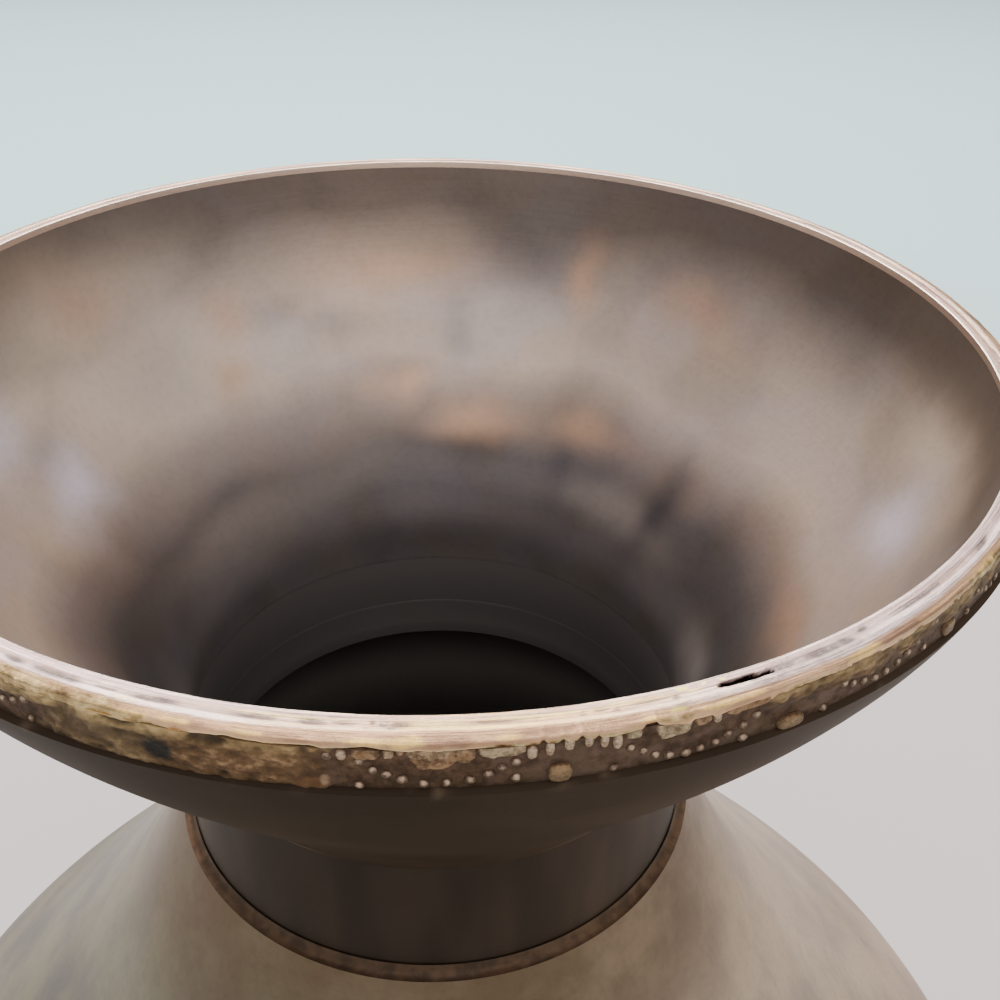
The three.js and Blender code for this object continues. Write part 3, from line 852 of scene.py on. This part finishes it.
def lip_masks(ring, points, outside):
    """Where the lip's marks lie, worked out on its even shape before it is worn."""
    crest = LIP_CHAMFER_START
    turn = np.degrees(ring.azimuth)
    on_top = blend(LIP_TOP - 0.35 * MM, LIP_TOP - 0.1 * MM, ring.height)
    on_top = on_top * (1 - blend(crest, crest + 0.3 * MM, ring.radius))
    place = (ring.radius + np.maximum(0, LIP_TOP - LIP_CHAMFER_DROP - ring.height) * outside) / MM
    ragged = 0.5 * grain(points, 1.2, 14)
    waver = 0.12 * MM * grain(points, 2, 18)
    shoulder = np.interp(turn, *zip(*LIP_CREST)) * MM
    sideways = blend(shoulder - 0.1 * MM, shoulder + 0.12 * MM, ring.radius + waver)
    # The lip's underside on its seat, painted dark as shade
    under = 1.0 * ((ring.height < LIP_SEAT + 0.02 * MM) & (ring.radius > crest))
    streaks = LIP_STREAKS + more_marks(91, 34, (0.8, 3), (86.2, 86.8), (0.15, 0.45))
    golds = LIP_GOLD + more_marks(92, 26, (0.8, 2.6), (88.2, 89.2), (0.4, 0.9))
    mauves = LIP_MAUVE + more_marks(93, 26, (0.8, 3), (88, 89.2), (0.25, 0.8))

    def marks(places, raggedness=1.0, softness=0):
        return spots(ring.azimuth, place, places, raggedness * ragged, softness)

    return {
        "groove": np.exp(-((ring.radius - LIP_GROOVE) / LIP_GROOVE_HALF) ** 2) * on_top,
        "slot": marks(LIP_SLOT, 0.4) * on_top,
        "streak": marks(streaks, 0.55, 0.4) * on_top,
        "scuff": marks(LIP_SCUFF),
        "glint": marks(LIP_GLINTS),
        "gold": marks(golds),
        "mauve": marks(mauves, softness=0.5),
        # cream: painted highlights on the top
        "cream": marks(LIP_CREAM, softness=0.6),
        "crust": marks(LIP_CRUSTS),
        "lumps": grain(points, 1.3, 17) * 0.5 + 0.5,
        "side": sideways,
        "under": under,
        # A painted highlight along the lower edge of the side
        "rim": outside * np.exp(-((ring.height - LIP_SEAT) / (0.16 * MM)) ** 2) * (1 - under),
        # Painted reflection on the top: warm in front and behind, cool at the sides.
        "warm": np.exp(-((turn - 4) / 13) ** 2) + 0.5 * blend(60, 90, np.abs(turn)),
    }


def wear_lip(ring, points, outside, masks):
    """Dents the lip, cuts its groove, slot and streaks, and makes its outer edge uneven."""
    upper = blend(LIP_SEAT + 0.1 * MM, LIP_SEAT + 0.5 * MM, ring.height)
    beyond = (ring.radius > LIP_CHAMFER_START) & (ring.height > LIP_SEAT - 0.005 * MM)
    flat = points * np.array([1, 1, 0])
    reach = 1 + lip_edge_drop(ring.azimuth, flat) * MM / (LIP_TOP - LIP_SEAT)
    dents = 0.035 * MM * grain(points, 2.2, 11) + 0.05 * MM * grain(points, 13, 12)
    ring.height = np.where(beyond, LIP_TOP - (LIP_TOP - ring.height) * reach, ring.height)
    ring.height = ring.height + upper * dents - LIP_GROOVE_DEPTH * masks["groove"]
    ring.height = ring.height - SLOT_DEPTH * masks["slot"] - STREAK_DEPTH * masks["streak"]
    edge = (0.1 * grain(points, 1.4, 13) + 0.06 * grain(points, 8, 15) - 0.04) * MM
    edge = edge + 0.2 * MM * masks["crust"] * (2 * masks["lumps"] - 1)
    ring.radius = ring.radius + outside * (1 - masks["under"]) * edge


def make_lip():
    ring = Turned(lip_outline(), LIP_COLUMNS)
    points = ring.points()
    outside = blend(LIP_OUTER - 0.9 * MM, LIP_OUTER, ring.radius)
    masks = lip_masks(ring, points, outside)
    wear_lip(ring, points, outside, masks)
    masks["slot"] = np.clip(6 * masks["slot"], 0, 1)
    masks["crust"] = masks["crust"] * masks["side"]
    return ring.piece("lip", bright_brass(), "bright_brass", ["lip_ring"], masks)


def festoon_drop(turn):
    """How far under the lip's seat the festoon hangs in mm at a share of its repeat: most at 0."""
    return (FESTOON_LOW + FESTOON_HIGH) / 2 + np.cos(2 * math.pi * turn) * (FESTOON_LOW - FESTOON_HIGH) / 2


def all_swags():
    """The folds seen in front, and folds like them under every arch behind."""
    chance = np.random.RandomState(83)
    swags = list(SWAGS)
    for repeat in range(2, REPEATS - 1):
        middle = repeat * 360 / REPEATS
        split = middle + chance.uniform(-1, 1.5)
        before, after = middle - chance.uniform(2, 4.5), middle + chance.uniform(3, 5.5)
        swags.append((before, split, chance.uniform(0.9, 1.9), chance.uniform(0, 0.7)))
        swags.append((split + 0.2, after, chance.uniform(0.8, 1.8), chance.uniform(0.2, 1)))
    return swags


def swag_cover(azimuth, drop, points):
    """Where folds hang from the lip, from 0 to 1, and how pale each one is, over drops in mm."""
    wander = 0.26 * grain(points, 0.9, 75)
    cover, paleness = np.zeros(azimuth.shape), np.zeros(azimuth.shape)
    for start, end, lowest, pale in all_swags():
        middle, half = math.radians((start + end) / 2), (end - start) / 2
        turn = np.degrees(np.angle(np.exp(1j * (azimuth - middle))))
        turn = turn + 0.7 * wander
        corner = np.clip(np.abs(turn) / half, 0, 1) ** 4
        hem = lowest * (1 - 0.5 * corner) + wander
        across = 1 - blend(half - 0.14, half + 0.06, np.abs(turn))
        one = across * (1 - blend(hem - 0.16, hem + 0.12, drop))
        paleness = np.where(one > cover, pale, paleness)
        cover = np.maximum(cover, one)
    return cover, paleness * cover


def crust_cover(azimuth, drop, points):
    """Where crust still covers the band: the patches in front, and thin ones behind. Drops in mm."""
    ragged = 0.45 * grain(points, 1.6, 72)
    cover = spots(azimuth, drop, CRUSTS, ragged)
    cover = np.maximum(cover, spots(azimuth, drop, (CRUST_LUMP,), 0.4 * ragged))
    behind = blend(math.radians(72), math.radians(95), np.abs(azimuth))
    scattered = blend(0.1, 0.35, grain(points, 9, 73) + 0.3 * grain(points, 1.6, 74))
    return np.maximum(cover, 0.85 * behind * scattered)


def band_masks(strip, drop, points, lumps):
    """Where the band has folds, crust, stains and painted shade, over drops in mm."""
    turn = np.degrees(strip.azimuth)
    swag, pale = swag_cover(strip.azimuth, drop, points)
    crust = crust_cover(strip.azimuth, drop, points)
    orange = blend(-20, -15, turn) * (1 - blend(-4, 0, turn)) + 0.7 * blend(15, 20, turn)
    orange = orange + 0.3 * blend(0.5, 4.5, drop)

    def marks(places, ragged):
        return spots(strip.azimuth, drop, places, ragged)

    return {
        "swag": swag,
        "pale": pale,
        "crust": crust,
        "lumps": np.clip(0.5 + 0.75 * lumps, 0, 1),
        "lump": marks((CRUST_LUMP,), 0.2 * grain(points, 1.2, 80)),
        # Recesses under the lip, painted dark as shade
        "recess": marks(SHADED_RECESSES, 0.4 * lumps),
        "edge": marks((CRUST_EDGE,), 0.4 * lumps),
        "ochre": marks(OCHRE, 0.4 * lumps),
        "verdigris": marks((VERDIGRIS,), 0.35 * lumps),
        "orange": np.clip(orange, 0, 1),
        "high": (1 - blend(0.1, 1.9, drop)) * (1 - 0.65 * blend(-20, -15, turn)),
        "foot": blend(4.6, 5.5, drop),
        "right": 0.6 * blend(2, 9, turn) * (1 - blend(40, 60, turn)) * blend(-0.3, 0.4, lumps),
    }


def make_band():
    heights = np.linspace(BAND_SEAT, LIP_SEAT, 31)
    inner = LIP_INNER + COLLAR_WALL + FIT
    outline = [(LIP_OUTER, height) for height in heights] + [(inner, LIP_SEAT), (inner, BAND_SEAT)]
    strip = Turned(outline, BAND_COLUMNS)
    points = strip.points()
    long_points = points * np.array([1, 1, 1.8])
    lumps = 0.65 * grain(long_points, 2.6, 78) + 0.5 * grain(long_points, 0.9, 77)
    masks = band_masks(strip, (LIP_SEAT - strip.height) / MM, points, lumps)
    swag, crust, lump = masks["swag"], masks["crust"], masks["lump"]
    rise = np.maximum((0.3 + 0.08 * lumps) * MM * swag, crust * (0.36 + 0.36 * lumps) * MM)
    rise = rise + 0.3 * MM * lump * blend(0.1, 0.6, 1 - lump)
    rise = rise + 0.05 * MM * grain(points, 0.8, 79)
    rise = np.clip(rise * (1 - 0.8 * masks["recess"]), -0.05 * MM, 0.62 * MM)
    at_seat = blend(0, 0.25 * MM, strip.height - BAND_SEAT)
    outside = strip.radius > LIP_OUTER - 1 * MM
    strip.radius = strip.radius + outside * (rise * at_seat - GROUND_DEPTH)
    masks["swag"] = swag * (1 - crust)
    return strip.piece("band", band_brass(), "band_brass", ["ornament_band"], masks)


def dome(columns, rows):
    """A closed unit dome that rises along -Y over the XZ plane: its points and faces."""
    turn = np.linspace(0, 2 * math.pi, columns, endpoint=False)
    tilt = np.linspace(-0.5, math.pi / 2 * 0.96, rows)[:, None]
    out = np.sin(tilt) + 0 * turn
    points = np.stack([np.cos(tilt) * np.cos(turn), -out, np.cos(tilt) * np.sin(turn)], axis=-1)
    return points.reshape(-1, 3), capped_faces(rows, columns)


def boss_form(form):
    """The dome pressed into a low rounded block with a flat top, as the bosses are."""
    flat_top = np.tanh(1.8 * form[:, 1:2]) / math.tanh(1.8)
    reach = np.maximum(np.hypot(form[:, :1], form[:, 2:]), 1e-6)
    longest = np.maximum(np.abs(form[:, :1]), np.abs(form[:, 2:]))
    square = (reach / longest) ** 0.55 * reach ** -0.35
    return np.concatenate([form[:, :1] * square, flat_top, form[:, 2:] * square], axis=1)


def in_front(azimuth, places):
    """Whether an azimuth in degrees lies where the places seen stand for the regular ones."""
    turn = (azimuth + 180) % 360 - 180
    return FRONT_START < turn < max(place[0] for place in places) + FRONT_MARGIN


def bead_places():
    """Azimuth in degrees, then drop, half width and half height in mm, of each bead, boss and tooth,
    and its kind."""
    step = 360 / REPEATS
    beads, bosses = list(FRONT_BEADS), list(FRONT_BOSSES)
    flanks = list(FRONT_FLANKS)
    for repeat in range(REPEATS):
        for bead in range(BEADS_PER_REPEAT):
            turn = (bead + 0.5) / BEADS_PER_REPEAT
            turn = turn + CROWDING * math.sin(4 * math.pi * turn) / (4 * math.pi)
            azimuth = (repeat + turn) * step
            if not in_front(azimuth, FRONT_BEADS):
                beads.append((azimuth, festoon_drop(turn)))
        middle = (repeat + 0.5) * step
        if not in_front(middle, FRONT_FLANKS):
            bosses.append((middle, *BOSS))
        for azimuth in (middle - FLANK_TURN, middle + FLANK_TURN):
            if not in_front(azimuth, FRONT_FLANKS):
                flanks.append((azimuth, FLANK_DROP))
    places = [(*boss, KIND_BOSS) for boss in bosses]
    teeth = list(FRONT_TEETH)
    for azimuth, drop in beads + flanks:
        if drop < TOOTH_DROP and not FRONT_START < azimuth < FRONT_BEADS[-1][0]:
            teeth.append((azimuth, TOOTH_TOP, drop + BEAD_RADIUS))
        else:
            places.append((azimuth, drop, BEAD_RADIUS, BEAD_RADIUS, KIND_BEAD))
    for azimuth, top, foot in teeth:
        places.append((azimuth, (foot + top) / 2, BEAD_RADIUS, (foot - top) / 2, KIND_TOOTH))
    return places


def turned_to(points, azimuth):
    """Points made in front of the axis, turned round it to their azimuth."""
    cosine, sine = math.cos(azimuth), math.sin(azimuth)
    across, back, up = points.T
    return np.stack([across * cosine - back * sine, across * sine + back * cosine, up], axis=1)


def make_festoon():
    chance = np.random.RandomState(81)
    form, form_faces = dome(BEAD_COLUMNS, BEAD_ROWS)
    block = boss_form(form)
    shapes = {KIND_BEAD: form, KIND_BOSS: block, KIND_TOOTH: (block + form) / 2}
    ground = LIP_OUTER - GROUND_DEPTH
    points, faces, masks = [], [], []
    for turn, drop, half_width, half_height, kind in bead_places():
        azimuth = math.radians(turn)
        size = chance.uniform(0.85, 1.12)
        stretch = chance.uniform(1, 1.3) if kind == KIND_BEAD else 1
        shift = chance.uniform(-0.1, 0.1, 2)
        gleam = chance.uniform(0.85, 1.05)
        height = LIP_SEAT - drop * MM
        place = turned_to(np.array([[0, -ground, height]]), azimuth)
        if crust_cover(np.array([azimuth]), np.array([drop]), place)[0] > BURIED:
            continue
        rise = BOSS_RISE if kind == KIND_BOSS else BEAD_RISE
        local = shapes[kind] * np.array([half_width * stretch * size, rise * size, half_height]) * MM
        local = local + np.array([shift[0] * MM, -ground, height + shift[1] * MM * (kind == KIND_BEAD)])
        faces.extend(tuple(index + len(points) * len(form) for index in face) for face in form_faces)
        points.append(turned_to(local, azimuth))
        # Painted highlight: strongest where the bead faces outward and up
        top_highlight = np.clip(0.7 * -form[:, 1] + 0.5 * form[:, 2], 0, 1) * gleam
        kinds = [np.full(len(form), kind == other) for other in (KIND_BOSS, KIND_TOOTH)]
        masks.append([top_highlight, *kinds])
    points = np.concatenate(points)
    outward = points * np.array([1, 1, 0])
    outward /= np.linalg.norm(outward, axis=1)[:, None]
    points += outward * (0.09 * MM * grain(points, 0.6, 82))[:, None]
    points[:, 2] += 0.09 * MM * grain(points, 0.7, 84)
    masks = dict(zip(("top_highlight", "boss", "tooth"), np.concatenate(masks, axis=1)))
    return make_piece("festoon", points, faces, bead_brass(), ["ornament_band"], masks)


def mouth_curves():
    """The bowl's outside below the ledge, and its inside from the lip down through the spigot."""
    flare = run_down(
        (LEDGE_RADIUS, BAND_SEAT), FLARE_TOP, (NECK_RADIUS + FLARE_FOOT_STEP, BOWL_SEAT), FLARE_FOOT, 40)
    bore = run_down((LIP_INNER, LIP_SEAT), BORE_TOP, (SPIGOT_INNER, BOWL_SEAT), BORE_FOOT, 76)
    spigot = np.linspace((SPIGOT_INNER + 0.3 * MM, BOWL_SEAT), (NECK_BORE - 0.05 * MM, BOWL_FOOT), 9)
    return flare, soften(np.concatenate([bore, spigot[1:]]), 24)


def mouth_masks(bowl, points, bore):
    """Where the bowl's clouds and stains lie, and its painted highlights, reflections, light and shade,
    over the share of the way down its inside.
    """
    length = np.r_[0, np.cumsum(np.hypot(*np.diff(bore, axis=0).T))]
    share = at_height(bowl.height, bore, length / length[-1])
    wall_middle = at_height(bowl.height, bore, bore[:, 0]) + 0.6 * MM
    # Painted highlights: faint dashes along the ledge's worn edge, and an arc on each side where the bowl
    # meets the neck.
    edge = blend(BAND_SEAT - 0.3 * MM, BAND_SEAT, bowl.height)
    edge = edge * blend(0.25, 0.5, grain(points, 3, 23))
    foot = (1 - blend(BOWL_SEAT, BOWL_SEAT + 3 * MM, bowl.height)) * (bowl.radius > SPIGOT_OUTER + 0.1 * MM)
    foot = foot * blend(0.25, 0.6, np.abs(np.sin(bowl.azimuth)))
    azimuth = bowl.azimuth + math.radians(5) * grain(points, 16, 22)
    level = share + 0.05 * grain(points, 13, 24)

    def marks(places):
        return spots(azimuth, level, places, softness=1)

    return {
        "inside": np.where(bowl.radius < wall_middle, 1.0, 0.0),
        "down": share,
        "edge": np.maximum(0.5 * edge, foot),
        "cool": np.maximum(0.5 * marks(COOL_MARKS), marks((DARK_STREAK,))),
        "warm": marks(WARM_MARKS),
        # Lavender-white glints: painted reflections
        "painted_reflection": marks(PAINTED_REFLECTION_MARKS),
        "light": marks(LIGHT_MARKS),
        "lift": marks(LIFT_MARKS),
        "shade": np.maximum(marks(SHADE_MARKS), 0.6 * marks((FAR_SHADE,))),
    }


def make_mouth():
    ledge = BAND_SEAT + LEDGE_LIFT
    ground = LIP_OUTER - GROUND_DEPTH
    collar = LIP_INNER + COLLAR_WALL
    flare, bore = mouth_curves()
    outline = [
        (collar, LIP_SEAT),
        (collar, ledge + 0.1 * MM),
        (ground - 0.1 * MM, ledge + 0.1 * MM),
        (ground + 0.1 * MM, ledge),
        (LEDGE_RADIUS - 0.12 * MM, ledge - 0.22 * MM),
        (LEDGE_RADIUS - 0.05 * MM, BAND_SEAT - 0.1 * MM),
        *flare[1:],
        (SPIGOT_OUTER, BOWL_SEAT),
        (SPIGOT_OUTER, BOWL_FOOT + 1 * MM),
        *bore[::-1],
    ]
    bowl = Turned(outline, MOUTH_COLUMNS)
    points = bowl.points()
    masks = mouth_masks(bowl, points, bore)
    hold = blend(0, 3 * MM, LIP_SEAT - bowl.height)
    bowl.dent(BOWL_DENTS * hold, 26, 21)
    return bowl.piece("mouth", mouth_brass(), "mouth_brass", ["mouth_bowl"], masks)


def make_neck(dark):
    rows = np.linspace(NECK_SEAT, BOWL_SEAT, 24)
    outline = [(NECK_RADIUS, height) for height in rows] + [(NECK_BORE, height) for height in rows[::-1]]
    tube = Turned(outline, NECK_COLUMNS)
    masks = {"bore": np.where(tube.radius < NECK_BORE + 0.5 * MM, 1.0, 0.0)}
    hold = np.sin(math.pi * (tube.height - NECK_SEAT) / (BOWL_SEAT - NECK_SEAT))
    tube.dent(NECK_DENTS * hold, 25, 31)
    return tube.piece("neck", dark, "dark_brass", ["neck_tube"], masks)


def make_fillet():
    inner = NECK_RADIUS + 0.3 * MM
    turns = np.linspace(0.06, math.pi / 2 - 0.06, 9)
    curve = [
        (FILLET_RADIUS - (FILLET_RADIUS - inner) * math.sin(turn),
         FILLET_TOP - (FILLET_TOP - NECK_SEAT) * math.cos(turn)) for turn in turns
    ]
    outline = [(inner, NECK_SEAT), (FILLET_RADIUS, NECK_SEAT), *curve, (inner, FILLET_TOP)]
    ring = Turned(outline, FILLET_COLUMNS)
    lump = grain(ring.points(), 3.5, 41)
    away = blend(inner, inner + 0.5 * MM, ring.radius) * blend(NECK_SEAT, NECK_SEAT + 0.3 * MM, ring.height)
    ring.height = ring.height + SOLDER_LUMPS * away * lump
    return ring.piece("neck_fillet", hard_solder(), "hard_solder", ["neck_solder_fillet"])


def make_shoulder(body):
    curve = run_down(
        (FILLET_RADIUS, NECK_SEAT), SHOULDER_TOP, (BELLY_RADIUS, BELLY_SEAM), SHOULDER_FOOT, 72)
    inside = inner_wall(curve, BODY_WALL, BELLY_SEAM, NECK_SEAT - 2 * MM)
    outline = [
        (SPIGOT_OUTER, NECK_SEAT),
        *curve[:-1],
        (BELLY_RADIUS, BELLY_SEAM + SEAM_GROOVE),
        (BELLY_RADIUS - SEAM_GROOVE, BELLY_SEAM),
        (BELLY_RADIUS - BODY_WALL, BELLY_SEAM),
        *inside[::-1],
        (SPIGOT_INNER, NECK_SEAT - 2 * MM),
        *np.linspace((SPIGOT_INNER, NECK_SEAT), (NECK_BORE - 0.05 * MM, SPIGOT_TOP), 8),
        (SPIGOT_OUTER, SPIGOT_TOP - 0.5 * MM),
    ]
    shell = Turned(outline, SHOULDER_COLUMNS)
    middle = at_height(shell.height, curve, curve[:, 0]) - BODY_WALL / 2
    below = shell.height < NECK_SEAT - 1 * MM
    within = (shell.radius < middle) & (below | (shell.radius < NECK_BORE))
    hold = clear_of_ends(shell.height, BELLY_SEAM, NECK_SEAT, 12 * MM)
    shell.dent(BODY_DENTS * hold, 55, 51)
    masks = {"within": np.where(within, 1.0, 0.0)}
    return shell.piece("shoulder", body, "body_brass", ["shoulder_body"], masks)


def make_lower_body(body):
    curve = run_down(
        (BELLY_RADIUS, BELLY_SEAM), LOWER_TOP, (LOWER_FOOT_RADIUS, BODY_SEAT), LOWER_FOOT, 64)
    inside = inner_wall(curve, BODY_WALL, BODY_SEAT + BODY_WALL, BELLY_SEAM)
    outline = [
        (BELLY_RADIUS - SEAM_GROOVE, BELLY_SEAM),
        (BELLY_RADIUS, BELLY_SEAM - SEAM_GROOVE),
        *curve[1:],
        (LOWER_HOLE_RADIUS, BODY_SEAT),
        (LOWER_HOLE_RADIUS, BODY_SEAT + BODY_WALL),
        *inside[::-1],
        (BELLY_RADIUS - BODY_WALL, BELLY_SEAM),
    ]
    shell = Turned(outline, LOWER_COLUMNS)
    middle = at_height(shell.height, curve, curve[:, 0]) - BODY_WALL / 2
    masks = {"within": np.where(shell.radius < middle, 1.0, 0.0) * (shell.height > BODY_SEAT + 1 * MM)}
    hold = clear_of_ends(shell.height, BODY_SEAT, BELLY_SEAM, 12 * MM)
    shell.dent(BODY_DENTS * hold, 55, 52)
    return shell.piece("lower_shell", body, "body_brass", ["lower_body"], masks)


def make_bottom_disc(dark):
    foot = BODY_SEAT + BODY_WALL
    top = foot + DISC_THICKNESS
    rings = np.linspace(0.4 * MM, DISC_RADIUS - 0.4 * MM, 16)
    outline = [
        *[(radius, foot) for radius in rings],
        (DISC_RADIUS, foot),
        (DISC_RADIUS, top - 0.3 * MM),
        *[(radius, top) for radius in rings[::-1]],
    ]
    disc = Turned(outline, DISC_COLUMNS)
    hold = 1 - blend(DISC_RADIUS - 12 * MM, DISC_RADIUS, disc.radius)
    disc.height = disc.height + DISC_DENTS * hold * grain(disc.points(), 18, 53, octaves=2)
    points = disc.points().reshape(-1, 3)
    faces = capped_faces(*disc.radius.shape)
    return make_piece("base_disc", points, faces, dark, ["bottom_disc"])


def make_foot():
    curve = run_down(
        (STEM_TOP_RADIUS, BODY_SEAT), STEM_TOP, (STEM_FOOT_RADIUS, STEM_SEAT), STEM_FOOT, 32)
    inside = inner_wall(curve, STEM_WALL, STEM_SEAT, BODY_SEAT)
    outline = [
        *curve,
        (STEM_FOOT_RADIUS - STEM_WALL / math.cos(math.radians(STEM_FOOT[0])), STEM_SEAT),
        *inside[::-1],
        (STEM_TOP_RADIUS - STEM_WALL, BODY_SEAT),
    ]
    foot = foot_brass()
    stem = Turned(outline, FOOT_COLUMNS)
    stem.dent(STEM_DENTS * clear_of_ends(stem.height, STEM_SEAT, BODY_SEAT, 5 * MM), 35, 61)
    stem.piece("stem", foot, "foot_brass", ["foot_stem"])
    half = STEM_SEAT / 2
    nose = [
        (RING_RADIUS - half + half * math.sin(turn), half + half * math.cos(turn))
        for turn in np.linspace(0, math.pi, 17)
    ]
    outline = [
        *nose,
        (RING_INNER_RADIUS + 0.4 * MM, 0),
        (RING_INNER_RADIUS, 0.4 * MM),
        (RING_INNER_RADIUS, STEM_SEAT),
    ]
    Turned(outline, FOOT_COLUMNS).piece("standing_ring", foot, "foot_brass", ["foot_ring"])


def make_camera():
    camera = bpy.data.objects.new("camera", bpy.data.cameras.new("camera"))
    camera.data.sensor_width = FILM_WIDTH
    camera.data.lens = FOCAL_LENGTH
    camera.data.clip_start = 5 * MM
    turn = (
        Matrix.Rotation(math.radians(CAMERA_YAW), 4, "Z")
        @ Matrix.Rotation(math.radians(CAMERA_PITCH), 4, "X")
        @ Matrix.Rotation(math.radians(CAMERA_ROLL), 4, "Y")
        @ Matrix.Rotation(math.radians(90), 4, "X"))
    place = Vector((0, -CAMERA_BACK * LIP_INNER, LIP_TOP + CAMERA_ABOVE * LIP_INNER))
    camera.matrix_world = Matrix.Translation(place) @ turn
    bpy.context.scene.collection.objects.link(camera)
    bpy.context.scene.camera = camera


def make_floor():
    """A plain pale floor, a little warmer around the vase than far off."""
    mesh = bpy.data.meshes.new("floor")
    corners = [(FLOOR_REACH * x, FLOOR_REACH * y, 0) for x, y in ((-1, -1), (1, -1), (1, 1), (-1, 1))]
    mesh.from_pydata(corners, [], [(0, 1, 2, 3)])
    floor = bpy.data.objects.new("floor", mesh)
    f = Finish("floor")
    colour = f.mix(f.fade(f.radius, 0.5, 1.2), (230, 222, 219), (216, 252, 255))
    mesh.materials.append(f.done(colour, 0.85, metallic=0.0))
    bpy.context.scene.collection.objects.link(floor)


def soft_light(name, place, width, height, power, colour):
    """A rectangle of light that faces the vase's mouth."""
    lamp = bpy.data.lights.new(name, "AREA")
    lamp.shape = "RECTANGLE"
    lamp.size = width
    lamp.size_y = height
    lamp.energy = power
    lamp.color = colour
    light = bpy.data.objects.new(name, lamp)
    aim = (Vector((0, 0, LIP_TOP)) - Vector(place)).to_track_quat("-Z", "Y")
    light.matrix_world = Matrix.Translation(Vector(place)) @ aim.to_matrix().to_4x4()
    bpy.context.scene.collection.objects.link(light)


def light_studio():
    """A pale studio that is darker near the horizon than overhead, with a wide window behind."""
    world = bpy.data.worlds.new("studio")
    bpy.context.scene.world = world
    world.use_nodes = True
    tree = world.node_tree
    background = tree.nodes["Background"]
    heading = tree.nodes.new("ShaderNodeTexCoord").outputs["Generated"]
    apart = tree.nodes.new("ShaderNodeSeparateXYZ")
    ramp = tree.nodes.new("ShaderNodeValToRGB")
    tree.links.new(heading, apart.inputs[0])
    tree.links.new(apart.outputs["Z"], ramp.inputs["Fac"])
    tree.links.new(ramp.outputs["Color"], background.inputs["Color"])
    set_stops(ramp, SKY)
    background.inputs["Strength"].default_value = 1.0
    for light in LIGHTS:
        soft_light(*light)


body = body_brass()
dark = dark_brass()
make_camera()
make_lip()
make_band()
make_festoon()
make_mouth()
make_neck(dark)
make_fillet()
make_shoulder(body)
make_lower_body(body)
make_bottom_disc(dark)
make_foot()
make_floor()
light_studio()
